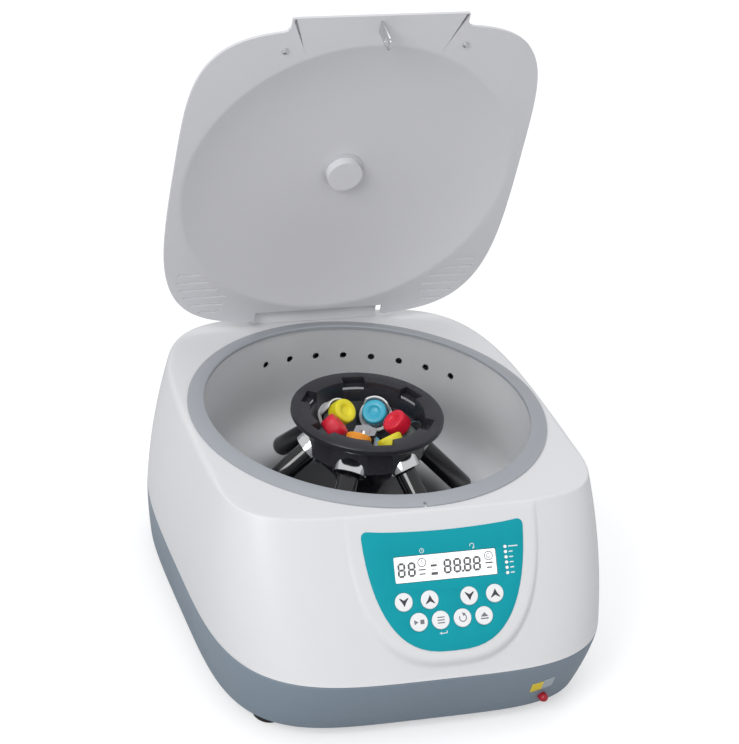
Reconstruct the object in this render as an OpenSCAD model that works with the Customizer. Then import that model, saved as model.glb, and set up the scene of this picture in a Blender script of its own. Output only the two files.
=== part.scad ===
// Benchtop clinical centrifuge with a fixed angle rotor, lid standing open.
// Millimetres, +Z up, front of the machine towards -Y.
// Every module is drawn about the spin axis of the rotor, with the table at z = 0.
// at_origin() then moves the machine so that the origin is the middle of its footprint.

/* [Housing] */
// Width of the housing at the seam between the white cover and the grey base
body_w = 290; // [280:1:300]
// Distance from the spin axis to the front of the seam
body_front = 198; // [192:1:206]
// Distance from the spin axis to the back of the seam
body_back = 150; // [149:1:156]
// Height of the seam above the table
seam_z = 54; // [48:1:60]
// Height of the flat deck round the chamber
deck_z = 150; // [146:1:156]
// Width of the deck at its edge
deck_w = 270; // [266:1:276]
// Distance from the spin axis to the front edge of the deck
deck_front = 134; // [133.5:0.5:137]
// Distance from the spin axis to the back edge of the deck
deck_back = 148; // [147:0.5:149]
// Width of the grey base at its bottom edge
base_w = 272; // [262:1:280]
// Distance from the spin axis to the front of the base at its bottom edge
base_front = 182; // [176:1:188]
// Distance from the spin axis to the back of the base at its bottom edge
base_back = 146; // [144:1:148]
// Wall thickness of both housing shells
wall = 3; // [2.4:0.2:3.6]
// Rounding of the deck edge
edge_r = 3; // [2:0.5:4]
// How far the side walls swell between deck and seam
side_swell = 3; // [0:0.5:5]
// Thin shadow line between cover and base
seam_gap = 0.3; // [0.2:0.1:0.6]
// Height of the rubber feet
foot_h = 8.4; // [6:0.2:12]
// Radius of the rubber feet
foot_r = 11; // [8:1:14]

/* [Chamber] */
// Outer radius of the grey chamber ring
ring_r = 130; // [129:0.5:131]
// Inner radius of the chamber ring
ring_in_r = 118; // [116:0.5:119]
// Height of the chamber ring above the deck at its inner edge
ring_h = 4; // [3:0.5:6]
// Depth of the bowl below the deck
bowl_depth = 84; // [82:1:86]
// Rounding between the bowl wall and its floor
bowl_corner_r = 36; // [28:1:42]
// Thickness of the bowl sheet
bowl_t = 1.2; // [1:0.1:1.5]
// Number of vent holes in the bowl wall
vent_count = 8; // [6:1:10]
// Angle between two vent holes
vent_step = 10.35; // [9:0.05:12]
// Radius of a vent hole
vent_r = 2.6; // [2:0.1:3]
// Depth of the vent holes below the deck
vent_depth = 21.7; // [18:0.1:26]

/* [Rotor] */
// Number of tube places
place_count = 6; // [6:1:6]
// Direction of the first tube place, measured from the right hand side
place_start = -2; // [-30:1:30]
// Slope of the tube places below the horizontal
place_tilt = 45; // [45:0.5:46]
// Distance from the spin axis to the mouth of a socket
mouth_r = 33.7; // [33.4:0.1:34]
// Depth of the mouth of a socket below the deck
mouth_depth = 22.9; // [22.4:0.1:23.2]
// Outer radius of a chromed socket
socket_r = 12.3; // [12:0.1:12.5]
// Length of a chromed socket
socket_len = 11; // [10:0.5:12]
// Wall thickness of a chromed socket
socket_t = 0.8; // [0.6:0.1:1]
// Outer radius of a tube shield
shield_r = 7.7; // [7.4:0.1:8]
// Length of a tube shield below the socket's mouth
shield_len = 72; // [70:1:75]
// Outer radius of the rotor flange
flange_r = 55.6; // [54:0.2:58]
// Inner radius of the rotor flange
flange_in_r = 41.6; // [41:0.2:42.4]
// Thickness of the rotor flange
flange_t = 5; // [4:0.5:6]
// Outer radius of the rotor cup under the flange
drum_r = 44; // [43.6:0.2:45]
// Depth of the lower edge of the cup's straight wall below the deck
drum_depth = 28.2; // [27:0.2:29]
// Radius of the motor shaft
shaft_r = 4; // [3.5:0.5:5]

/* [Tubes] */
// Outer radius of a sample tube
tube_r = 6.3; // [6:0.1:6.4]
// Length of a sample tube
tube_len = 75; // [70:1:75]
// Radius of a tube cap
cap_r = 9.2; // [8.8:0.1:9.4]
// Length of a tube cap
cap_len = 11; // [9:1:13]
// Radius of the hole in a white insert
insert_hole_r = 9.9; // [9.7:0.1:10.2]
// Height of the curved wall at the back of a white insert
insert_wall = 12; // [8:1:13]

/* [Lid] */
// Opening angle of the lid
open_angle = 75.5; // [60:0.5:80]
// Distance from the spin axis back to the hinge pin
hinge_y = 132.6; // [132.2:0.1:133.2]
// Height of the hinge pin above the deck
hinge_up = 19.5; // [19.3:0.1:20.2]
// Width of the lid
lid_w = 269.4; // [265:0.2:272]
// Distance from the spin axis to the front of the closed lid
lid_front = 134.8; // [132:0.2:137]
// Distance from the spin axis to the back of the closed lid
lid_back = 147.3; // [146.5:0.1:147.6]
// Depth of the lip below the liner
lip_depth = 10.4; // [9:0.2:10.8]
// Thickness of the lip
lip_t = 3; // [2.4:0.2:3.6]
// Rise of the lid's side wall above the liner
lid_side = 6; // [5:0.5:8]
// Rounding between the side wall and the top of the lid
lid_round = 12; // [10:0.5:13]
// Extra height of the lid at its middle
lid_crown = 6; // [4:0.5:9]
// Wall thickness of the lid
lid_wall = 2.6; // [2.2:0.2:3.2]
// Radius of the round dish in the liner
dish_r = 123.5; // [118:0.5:124]
// Depth of the dish
dish_depth = 12.4; // [8:0.2:13]
// Distance from the spin axis back to the middle of the dish
dish_y = 8; // [2:0.5:8]
// Thickness of the liner
liner_t = 2.5; // [2:0.1:3]
// Radius of the clear port in the middle of the dish
port_r = 13; // [10:0.5:16]
// Half the width of the finger tab at the front
tab_w = 67.7; // [60:0.5:72]
// How far the finger tab stands in front of the lid
tab_out = 10.1; // [8:0.1:12]
// Half the width of the hinge notch
notch_w = 50.2; // [45:0.1:52]

/* [Latch] */
// Length of the latch plate below the liner
latch_len = 22; // [20:0.5:23]
// Thickness of the latch plate
latch_t = 1.2; // [1:0.1:1.6]
// Distance from the spin axis to the front edge of the latch plate
latch_front = 137.7; // [137:0.1:138]
// Distance from front to back of the latch plate
latch_w = 10.4; // [10:0.1:10.6]
// Radius of the latch bolt
bolt_r = 1.6; // [1.2:0.1:1.7]
// Travel of the latch bolt
bolt_travel = 6; // [4:0.5:7]

/* [Panel] */
// Sideways place of the control panel
panel_x = 9; // [4:0.5:12]
// How much flatter the panel lies than the front of the cover
panel_ease = 2.5; // [2:0.1:3]
// Half the width of the raised panel boss
boss_w = 70; // [67:0.5:74]
// Length of the raised panel boss down the slope
boss_len = 104; // [101:0.5:106]
// Half the width of the coloured label
label_w = 59; // [57:0.5:61]
// Distance down the slope to the lower end of the label
label_len = 96.5; // [95:0.5:98]
// Distance down the slope to the upper edge of the label
label_top = 11; // [10:0.5:13]
// Thickness of the label
label_t = 0.8; // [0.6:0.1:1]
// Width of the display pane
pane_w = 74; // [68:1:78]
// Height of the display pane
pane_h = 18; // [16:0.5:19]
// Distance down the slope to the middle of the display
pane_s = 38.8; // [37:0.2:40]
// Radius of a key
key_r = 6.3; // [6:0.1:6.5]
// Travel of a key
key_travel = 0.8; // [0.5:0.1:1]
// How far a key stands above the label
key_proud = 1; // [1:0.1:1.4]

/* [Hidden] */
$fn = 72;

white = [0.86, 0.86, 0.87];
grey = [0.50, 0.55, 0.60];
black = [0.13, 0.13, 0.15];
steel = [0.75, 0.76, 0.78];
teal = [0.11, 0.62, 0.68];
cap_colours = ["crimson", "deepskyblue", "gold", "crimson", "orange", "gold"];

// Small clearances with names
rest_gap = 0.3;
slide_gap = 0.2;
run_gap = 0.05;
eps = 0.01;
around = 72;

// The inlet flange stands proud of the back, so it counts in the footprint
inlet_proud = 1.5;
axis_y = (body_front - body_back - inlet_proud) / 2;
base_z = foot_h;
floor_top = base_z + wall;
hinge_z = deck_z + hinge_up;
hinge_r = 5.6;
pin_r = 2.5;
pin_half = 61;
relief_gap = 0.5;

// Outline family: an oval with squared corners and its own front and back depth
function lerp(a, b, t) = a + (b - a) * t;
function squircle_r(th, n) = pow(pow(abs(cos(th)), n) + pow(abs(sin(th)), n), -1 / n);
function oval_point(o, th, inset) =
    let (r = squircle_r(th, o[4]),
         y_half = sin(th) < 0 ? o[1] + o[3] : o[2] - o[3],
         y = (y_half - inset) * sin(th) * r,
         u = y > 0 ? y / y_half : 0)
    [(o[0] - inset) * cos(th) * r * (1 - o[5] * u * u), y + o[3]];
function oval_ring(o, inset, z) =
    [for (i = [0:around - 1]) let (p = oval_point(o, 360 * i / around, inset)) [p[0], p[1], z]];
function oval_outline(o, inset) =
    [for (i = [0:around - 1]) oval_point(o, 360 * i / around, inset)];

// An oval is half width, front depth, back depth, widest line, corner sharpness, back taper
seam_oval = [body_w / 2, body_front, body_back, -32, 3.9, 0.03];
deck_oval = [deck_w / 2, deck_front, deck_back, -44, 4.8, 0.07];
base_oval = [base_w / 2, base_front, base_back, -18, 4.35, 0.02];
lid_oval = [lid_w / 2, lid_front, lid_back, -1, 4.4, 0.05];
function mix(a, b, t) = [for (i = [0:5]) lerp(a[i], b[i], t)];
function swell(o, d) = [o[0] + d, o[1] + d / 2, o[2], o[3], o[4], o[5]];
function cover_oval(z) =
    let (s = (deck_z - z) / (deck_z - seam_z))
    swell(mix(deck_oval, seam_oval, s), side_swell * 4 * s * (1 - s));
function base_section(z) =
    let (s = (seam_z - z) / (seam_z - base_z))
    mix(seam_oval, base_oval, pow(s, 1.3));

// A closed skin over a stack of rings, lowest ring first
module loft(rings) {
    m = len(rings[0]);
    top = len(rings) - 1;
    sides = [for (k = [0:top - 1], i = [0:m - 1], half = [0:1])
        let (a = k * m + i, b = k * m + (i + 1) % m)
        half == 0 ? [a, a + m, b] : [b, a + m, b + m]];
    caps = [[for (i = [0:m - 1]) i], [for (i = [m - 1:-1:0]) top * m + i]];
    polyhedron([for (ring = rings) each ring], concat(sides, caps), convexity = 6);
}

module at_origin() { translate([0, axis_y, 0]) children(); }
module on_deck() { translate([0, 0, deck_z]) children(); }
module at_hinge() { translate([0, hinge_y, hinge_z]) children(); }
// Children are drawn for the closed lid, about the hinge pin, and stand open here
module on_lid() { at_hinge() rotate([-open_angle, 0, 0]) children(); }
module ring_solid(points) { rotate_extrude($fn = 144) polygon(points); }
module rounded_box(size, r) {
    translate([0, 0, -size[2] / 2]) linear_extrude(size[2]) rounded_square(size[0], size[1], r);
}
module rounded_square(w, h, r) {
    square([w - 2 * r, h], center = true);
    square([w, h - 2 * r], center = true);
    for (x = [-1, 1], y = [-1, 1]) translate([x * (w / 2 - r), y * (h / 2 - r)]) circle(r, $fn = 32);
}

// Panel frame: origin on the deck's front edge, +Y up the slope, +Z out of the panel
front_tilt = atan((deck_z - seam_z) / (body_front - deck_front));
panel_tilt = front_tilt - panel_ease;
module on_panel() {
    translate([panel_x, -deck_front, deck_z]) rotate([panel_tilt, 0, 0]) children();
}
// A shield shape whose sides close towards the bottom; s is measured down the slope
function shield_side(w, l, a) = [w * pow(sin(a), 2 / 2.8), -l * pow(cos(a), 2 / 2.3)];
function shield_outline(w, l, top, sag, corner) =
    let (a_top = acos(pow(max(top + corner, 0) / l, 2.3 / 2)),
         side = [for (i = [0:16]) shield_side(w, l, a_top * i / 16)],
         x_top = side[16][0],
         bend = [for (t = [30, 60, 90]) [x_top - corner * (1 - cos(t)), -top - corner * (1 - sin(t))]],
         edge = [for (i = [1:9]) let (x = (x_top - corner) * (1 - i / 5))
             [x, -top - sag * (1 - pow(x / x_top, 2))]],
         left = [for (i = [len(bend) - 1:-1:0]) [-bend[i][0], bend[i][1]]],
         back = [for (i = [16:-1:1]) [-side[i][0], side[i][1]]])
    concat(side, bend, edge, left, back);

// Depths below the panel face
boss_back = -3.6;
board_z = -10;
key_foot = board_z + key_travel + rest_gap;
board_t = 1.6;
board_top_s = 25;
board_len = 68;
board_w = 104;
board_posts = [[-30, -27.8], [30, -27.8], [-44, -54], [44, -54], [-20, -88], [20, -88]];
row_1_s = 60.6;
row_2_s = 75;
row_1_x = [-33, -14.3, 14.3, 33];
row_2_x = [-23.6, -7.9, 7.9, 23.6];
lamp_count = 6;
lamp_r = 1.1;
lamp_x = 44;
lamp_top_s = 29.5;
lamp_step = 3.6;
function key_place(i) = i < 4 ? [row_1_x[i], -row_1_s] : [row_2_x[i - 4], -row_2_s];
function lamp_place(i) = [lamp_x, -lamp_top_s - lamp_step * i];

// Chamber profile values
hole_r = ring_in_r + 3.5;
bowl_wall_r = hole_r - 0.8 - bowl_t;
bowl_rim_r = ring_in_r + 8;
bowl_hole_r = 15;
bowl_taper = 3;
bowl_floor_r = bowl_wall_r - bowl_taper - bowl_corner_r;

// Motor stack
plate_t = 3;
plate_z = deck_z - bowl_depth - bowl_t - 4 - plate_t;
plate_w = 148;
post_xy = 58;
post_r = 8;
damper_h = 9;
damper_r = 10;
motor_r = 33;
motor_bottom = floor_top + 3;

// Rotor profile values
well_r = flange_in_r - 0.4;
well_depth = 34;
boss_r = 14;
boss_up = 6;
hub_r = 12;
hub_bottom = deck_z - bowl_depth + 6;
waist_r = 18;
nut_r = 9;
nut_h = 11;
shield_in_r = shield_r - 0.9;
insert_r = socket_r - socket_t - 0.02;
notch_wide = 16.5;
notch_out_r = 48;
notch_turn = 28;
// How far each cap stands out of its socket, and where the tube under it ends
cap_face = [20, 12, 19, 20, 19, 16.5];
function tube_end(i) = tube_len + 3 - cap_face[i];

// Tube place frame: origin at the socket's mouth, +Z along the tube towards its closed end
module on_place(i) {
    rotate([0, 0, place_start + 360 / place_count * i])
        translate([mouth_r, 0, deck_z - mouth_depth])
            rotate([0, 90 + place_tilt, 0]) children();
}

// Latch and hook in the frame of the machine
bolt_up = -7;
bolt_y = latch_w - latch_front - 3.7;
latch_slot_w = latch_t + 1;
latch_slot_front = -latch_front - 1.8;
latch_slot_back = latch_w - latch_front + 0.9;
bolt_tip = latch_slot_w / 2 + 0.5;
housing_front = deck_front - 0.4;
housing_back = deck_front - 11.2;
housing_half = 9;
coil_start = housing_half + rest_gap;
coil_len = 22;
bolt_len = 30;

// Rear inlet and switch
inlet_x = -52;
inlet_z = 31;
inlet_w = 50;
inlet_h = 28;
socket_w = 24.5;
socket_h = 16.5;
inlet_floor = 16;
rocker_x = inlet_x + 62;
rocker_w = 14;
rocker_h = 20;
rocker_axis_in = 4;
pad_x = -31;
pad_w = 106;
pad_h = 34;
pad_t = 11;

// Emergency release pull at the front right corner of the base
pull_angle = -76;
pull_x = 83.3;
pull_y = -180.8;
pull_z = 18;
pull_travel = 10;
pull_stem_r = 1.6;
pull_knob_r = 3.2;

// Grey lower shell: an open tray with posts, a rear socket pad and a pull bore
module base_shell() {
    inner = [for (z = [floor_top, lerp(floor_top, seam_z, 0.5), seam_z + 1])
        oval_ring(base_section(min(z, seam_z)), wall, z)];
    outer = concat(
        [oval_ring(base_section(base_z), 4, base_z), oval_ring(base_section(base_z + 1.2), 1.2, base_z + 1.2)],
        [for (t = [0.1, 0.35, 0.6, 0.8]) let (z = lerp(base_z, seam_z, t)) oval_ring(base_section(z), 0, z)],
        [oval_ring(base_section(seam_z - seam_gap), 0.8, seam_z - seam_gap)]);
    color(grey) difference() {
        union() {
            difference() {
                loft(outer);
                loft(inner);
            }
            translate([pad_x, body_back, inlet_z]) rotate([90, 0, 0])
                linear_extrude(pad_t) rounded_square(pad_w, pad_h, 4);
            for (x = [-1, 1], y = [-1, 1]) translate([x * post_xy, y * post_xy, floor_top - 1])
                cylinder(h = plate_z - damper_h - floor_top + 1, r = post_r);
            pull_place() translate([0, 0, -16]) cylinder(h = 14.5, r = 5);
        }
        rear_windows();
        pull_place() translate([0, 0, -30]) cylinder(h = 60, r = pull_stem_r + run_gap);
        pull_place() translate([0, 0, -rest_gap]) cylinder(h = 20, r = pull_knob_r + 1);
        for (x = [-1, 1], y = [-1, 1]) translate([x * post_xy, y * post_xy, 0])
            cylinder(h = 60, r = 2, $fn = 24);
    }
}
// Windows for the inlet and the switch
module rear_windows() {
    translate([inlet_x, body_back, inlet_z]) cube([32.4, 40, 24.4], center = true);
    translate([rocker_x, body_back, inlet_z]) cube([rocker_w + 3.2, 40, rocker_h + 3.2], center = true);
}

// White upper shell with the chamber opening, the panel boss and the latch slot
module top_cover() {
    cut_z = deck_z - edge_r;
    outer = concat(
        [oval_ring(cover_oval(seam_z), 0, seam_z)],
        [for (t = [0.12, 0.3, 0.5, 0.7, 0.88]) let (z = lerp(seam_z, cut_z, t)) oval_ring(cover_oval(z), 0, z)],
        [for (a = [0, 30, 60, 90]) let (z = cut_z + edge_r * sin(a))
            oval_ring(cover_oval(z), edge_r * (1 - cos(a)), z)]);
    inner = [for (z = [seam_z - 1, lerp(seam_z, deck_z, 0.33), lerp(seam_z, deck_z, 0.66), deck_z - wall])
        oval_ring(cover_oval(max(z, seam_z)), wall * 1.15, z)];
    color(white) difference() {
        union() {
            loft(outer);
            intersection() {
                on_panel() translate([0, 0, -30]) linear_extrude(30)
                    polygon(shield_outline(boss_w, boss_len, -8, 0, 2));
                translate([-200, -deck_front - 100, seam_z]) cube([400, 120, deck_z - seam_z]);
            }
        }
        loft(inner);
        translate([0, 0, deck_z - 20]) cylinder(h = 40, r = hole_r, $fn = 144);
        panel_cuts();
        latch_slot(16);
    }
    color(white) on_panel() for (p = board_posts) translate([p[0], p[1], board_z + 0.02])
        cylinder(h = -board_z - 1.6, r = 2.5, $fn = 24);
}
module latch_slot(depth) {
    translate([-latch_slot_w / 2, latch_slot_front, deck_z - depth])
        cube([latch_slot_w, latch_slot_back - latch_slot_front, depth + 10]);
}
module panel_cuts() {
    on_panel() {
        translate([0, 0, boss_back - 30]) linear_extrude(30)
            polygon(shield_outline(boss_w - 5, boss_len - 5, 22, 0, 3));
        translate([0, 0, -label_t / 2]) linear_extrude(10)
            polygon(shield_outline(label_w + 0.2, label_len + 0.2, label_top - 0.2, 3, 4));
        translate([0, -pane_s, -10]) rounded_box([pane_w - 3, pane_h - 3, 40], 1);
        for (i = [0:7]) translate([key_place(i)[0], key_place(i)[1], -15]) cylinder(h = 30, r = key_r + slide_gap);
        for (i = [0:lamp_count - 1]) translate([lamp_place(i)[0], lamp_place(i)[1], -15])
            cylinder(h = 30, r = lamp_r + slide_gap, $fn = 24);
    }
}

// Spun sheet bowl with a rim flange, a row of vent holes and a raised shaft collar
module chamber_bowl() {
    corner = [for (a = [0:10:90]) [
        bowl_floor_r + bowl_corner_r * cos(a), -bowl_depth + bowl_corner_r * (1 - sin(a))]];
    corner_out = [for (a = [90:-10:0]) [
        bowl_floor_r + (bowl_corner_r + bowl_t) * cos(a),
        -bowl_depth + bowl_corner_r - (bowl_corner_r + bowl_t) * sin(a)]];
    skin = concat(
        [[bowl_rim_r, 0], [bowl_rim_r, bowl_t], [bowl_wall_r, bowl_t], [bowl_wall_r, 0]],
        corner,
        [[bowl_hole_r + 9, -bowl_depth], [bowl_hole_r + 3, -bowl_depth + 5], [bowl_hole_r, -bowl_depth + 5],
         [bowl_hole_r, -bowl_depth + 5 - bowl_t], [bowl_hole_r + 2.4, -bowl_depth + 5 - bowl_t],
         [bowl_hole_r + 8.4, -bowl_depth - bowl_t]],
        corner_out,
        [[bowl_wall_r + bowl_t, 0]]);
    color(steel) difference() {
        on_deck() ring_solid(skin);
        for (i = [0:vent_count - 1]) rotate([0, 0, 75 + vent_step * (i - (vent_count - 1) / 2)])
            translate([bowl_wall_r - 20, 0, deck_z - vent_depth]) rotate([0, 90, 0])
                cylinder(h = 40, r = vent_r, $fn = 24);
    }
}

// Grey ring that covers the bowl rim; its top rises towards the opening
module chamber_gasket() {
    color(grey) difference() {
        on_deck() ring_solid([
            [ring_r, 0.05], [ring_r, 1], [ring_in_r + 2, ring_h], [ring_in_r + 0.6, ring_h - 0.1],
            [ring_in_r, ring_h - 0.7], [ring_in_r, bowl_t + 0.1], [bowl_rim_r + 0.3, bowl_t + 0.1],
            [bowl_rim_r + 0.3, 0.05]]);
        latch_slot(1);
    }
}

// Hinge hump behind the ring: a web on the deck that carries the hinge barrel
hump_half = notch_w - 0.8;
module hinge_housing() {
    color(white) difference() {
        union() {
            at_hinge() rotate([0, 90, 0]) cylinder(h = 2 * hump_half, r = hinge_r, center = true);
            at_hinge() translate([-hump_half, 0, 0]) rotate([90, 0, 90]) linear_extrude(2 * hump_half)
                polygon([[2.6, -hinge_up + 0.02], [2.6, -4], [0, 0], [hinge_r, 0], [9.4, -hinge_up + 3],
                    [9.4, -hinge_up + 0.02]]);
        }
        at_hinge() rotate([0, 90, 0]) cylinder(h = 200, r = pin_r + 0.02, center = true);
    }
}
module hinge_pin() {
    color(steel) at_hinge() rotate([0, 90, 0]) cylinder(h = 2 * pin_half, r = pin_r, center = true);
}

// Control panel pieces
module panel_label() {
    color(teal) on_panel() difference() {
        translate([0, 0, -label_t / 2]) linear_extrude(label_t)
            polygon(shield_outline(label_w, label_len, label_top, 3, 4));
        translate([0, -pane_s, 0]) rounded_box([pane_w + 0.4, pane_h + 0.4, 10], 1.2);
        for (i = [0:7]) translate([key_place(i)[0], key_place(i)[1], -5]) cylinder(h = 10, r = key_r + slide_gap);
        for (i = [0:lamp_count - 1]) translate([lamp_place(i)[0], lamp_place(i)[1], -5])
            cylinder(h = 10, r = lamp_r + slide_gap, $fn = 24);
    }
}
module display_pane() {
    color([0.85, 0.87, 0.88, 0.6]) on_panel() translate([0, -pane_s, 0]) rounded_box([pane_w, pane_h, label_t], 1);
}
module display_module() {
    color([0.9, 0.92, 0.93]) on_panel() translate([0, -pane_s, (-label_t / 2 - rest_gap + board_z + rest_gap) / 2])
        rounded_box([pane_w - 3.6, pane_h - 3.6, -label_t / 2 - rest_gap - (board_z + rest_gap)], 0.8);
}
module status_lamps() {
    color("white") on_panel() for (i = [0:lamp_count - 1])
        translate([lamp_place(i)[0], lamp_place(i)[1], board_z + rest_gap])
            cylinder(h = label_t / 2 + 0.3 - board_z - rest_gap, r = lamp_r, $fn = 24);
}
module control_board() {
    color("darkgreen") on_panel() translate([0, -board_top_s - board_len / 2, board_z - board_t / 2])
        rounded_box([board_w - 8, board_len, board_t], 2);
}
// A round key: cap, stem and a rear collar that keeps it in its hole
module key(i) {
    color("white") on_panel() translate([key_place(i)[0], key_place(i)[1], 0]) rotate_extrude() polygon([
        [0, key_foot], [2.5, key_foot], [2.5, boss_back - 1.5], [key_r + 0.8, boss_back - 1.5],
        [key_r + 0.8, boss_back - rest_gap], [key_r, boss_back - rest_gap],
        [key_r, label_t / 2 + key_proud - 0.5], [key_r - 0.5, label_t / 2 + key_proud], [0, label_t / 2 + key_proud]]);
}

// Drive
module motor_plate() {
    color(steel) translate([0, 0, plate_z + plate_t / 2]) difference() {
        rounded_box([plate_w, plate_w, plate_t], 14);
        cylinder(h = 20, r = 13, center = true);
    }
}
module drive_motor() {
    color("dimgray") difference() {
        union() {
            translate([0, 0, motor_bottom]) cylinder(h = plate_z - motor_bottom, r = motor_r);
            translate([0, 0, plate_z - 5]) cylinder(h = 5, r = motor_r + 6);
            translate([0, 0, plate_z - 1]) cylinder(h = plate_t + 3, r = 11);
        }
        translate([0, 0, motor_bottom + 6]) cylinder(h = 80, r = shaft_r + run_gap);
    }
}
module motor_shaft() {
    color(steel) translate([0, 0, motor_bottom + 6 + rest_gap])
        cylinder(h = deck_z - well_depth + boss_up + nut_h + 1.5 - motor_bottom - 6, r = shaft_r);
}
module motor_dampers() {
    color(black) for (x = [-1, 1], y = [-1, 1])
        translate([x * post_xy, y * post_xy, plate_z - damper_h]) ring_damper();
}
module ring_damper() {
    rotate_extrude() polygon([[2.2, 0], [damper_r, 0], [damper_r, 2.5], [damper_r - 1.6, damper_h / 2],
        [damper_r, damper_h - 2.5], [damper_r, damper_h], [2.2, damper_h]]);
}
module power_board() {
    color("darkgreen") translate([-45, 98, floor_top + 6]) {
        translate([0, 0, 0.8]) rounded_box([80, 56, 1.6], 2);
        translate([-18, 4, 9]) cube([26, 24, 15], center = true);
        translate([20, -6, 1.6]) cylinder(h = 22, r = 9);
        for (x = [-1, 1], y = [-1, 1]) translate([x * 34, y * 22, -6]) cylinder(h = 6.4, r = 3, $fn = 24);
    }
}

// Latch behind the front edge of the deck
module latch_block(x, length, bottom) {
    top = deck_z - wall - rest_gap;
    translate([x, 0, 0]) rotate([90, 0, 90]) linear_extrude(length) polygon([
        [-housing_front, bottom], [-housing_back, bottom], [-housing_back, top], [-housing_front + 1.8, top],
        [-housing_front, top - 1.8]]);
}
module latch_housing() {
    color(black) difference() {
        latch_block(-housing_half, 2 * housing_half, deck_z - 19);
        translate([-latch_slot_w / 2, -housing_front - 5, deck_z - 14]) cube([latch_slot_w, 30, 20]);
        translate([-housing_half - 5, bolt_y, deck_z + bolt_up]) rotate([0, 90, 0])
            cylinder(h = 40, r = bolt_r + run_gap);
    }
}
module latch_coil() {
    color("sienna") difference() {
        latch_block(coil_start, coil_len, deck_z - 12);
        translate([0, bolt_y, deck_z + bolt_up]) rotate([0, 90, 0]) cylinder(h = 60, r = bolt_r + run_gap);
    }
}
module latch_bolt() {
    color(steel) translate([bolt_tip, bolt_y, deck_z + bolt_up]) rotate([0, 90, 0]) cylinder(h = bolt_len, r = bolt_r);
}

// Rear electrics
module power_inlet() {
    color(black) translate([inlet_x, body_back, inlet_z]) rotate([90, 0, 180]) difference() {
        union() {
            translate([0, 0, inlet_proud / 2 + 0.02]) rounded_box([inlet_w, inlet_h, inlet_proud - 0.04], 3);
            translate([0, 0, -10]) rounded_box([32, 24, 20.1], 2);
        }
        translate([0, 0, 12 - inlet_floor]) rounded_box([socket_w, socket_h, 24], 3);
    }
}
module switch_bezel() {
    color(black) translate([rocker_x, body_back, inlet_z]) rotate([90, 0, 180]) difference() {
        union() {
            translate([0, 0, inlet_proud / 2 + 0.02]) rounded_box([rocker_w + 8, rocker_h + 8, inlet_proud - 0.04], 2);
            translate([0, 0, -6]) rounded_box([rocker_w + 2.8, rocker_h + 2.8, 12.1], 1);
        }
        rounded_box([rocker_w + 0.8, rocker_h + 0.8, 40], 0.5);
        rotate([0, 90, 0]) translate([rocker_axis_in, 0, 0]) cylinder(h = rocker_w + 10, r = 1 + run_gap, center = true, $fn = 24);
    }
}
module inlet_pins() {
    color(steel) for (k = [-1:1])
        translate([inlet_x + 7 * k - 1, body_back - inlet_floor + 0.02, inlet_z - 2 + (k == 0 ? 2 : -2)])
            cube([2, inlet_floor - 3, 4]);
}
// Rocker that tips about a sideways axis
module power_rocker() {
    color(black) translate([rocker_x, body_back - rocker_axis_in, inlet_z]) rotate([0, 90, 0]) {
        linear_extrude(rocker_w, center = true) polygon([
            [-rocker_h / 2 + 1.4, 2.6], [0, 3.4], [rocker_h / 2 - 1.4, 5.4], [rocker_h / 2 - 1.4, 0], [4, -4],
            [-4, -4], [-rocker_h / 2 + 1.4, 0]]);
        cylinder(h = rocker_w + 2.4, r = 1, center = true, $fn = 24);
    }
}

// Feet and screws
foot_x = base_w / 2 - 32;
foot_front = base_front - 36;
foot_rear = base_back - 30;
module rubber_feet() {
    color(black) for (x = [-1, 1], y = [-foot_front, foot_rear]) translate([x * foot_x, y, 0]) rotate_extrude()
        polygon([[3, 2], [4, 0], [foot_r - 1.5, 0], [foot_r, 1.5], [foot_r - 1, foot_h - 0.02], [0, foot_h - 0.02], [0, 2]]);
}
module case_screws() {
    color(steel) for (x = [-1, 1], y = [-1, 1]) translate([x * post_xy, y * post_xy, plate_z + plate_t]) rotate_extrude()
        polygon([[0, 0.02], [4.5, 0.02], [4.2, 2.2], [3, 3], [0, 3]]);
}
// Pull frame: +Z is the way the knob is pulled, out of the base wall
module pull_place() { translate([pull_x, pull_y, pull_z]) rotate([0, 90, pull_angle]) children(); }
module release_pull() {
    color("red") pull_place() {
        translate([0, 0, -24]) cylinder(h = 24.5, r = pull_stem_r);
        rotate_extrude() polygon([[0, 0], [pull_knob_r - 0.8, 0], [pull_knob_r, 0.8], [pull_knob_r, 4.4],
            [pull_knob_r - 1, 6], [0, 6.4]]);
    }
}

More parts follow.
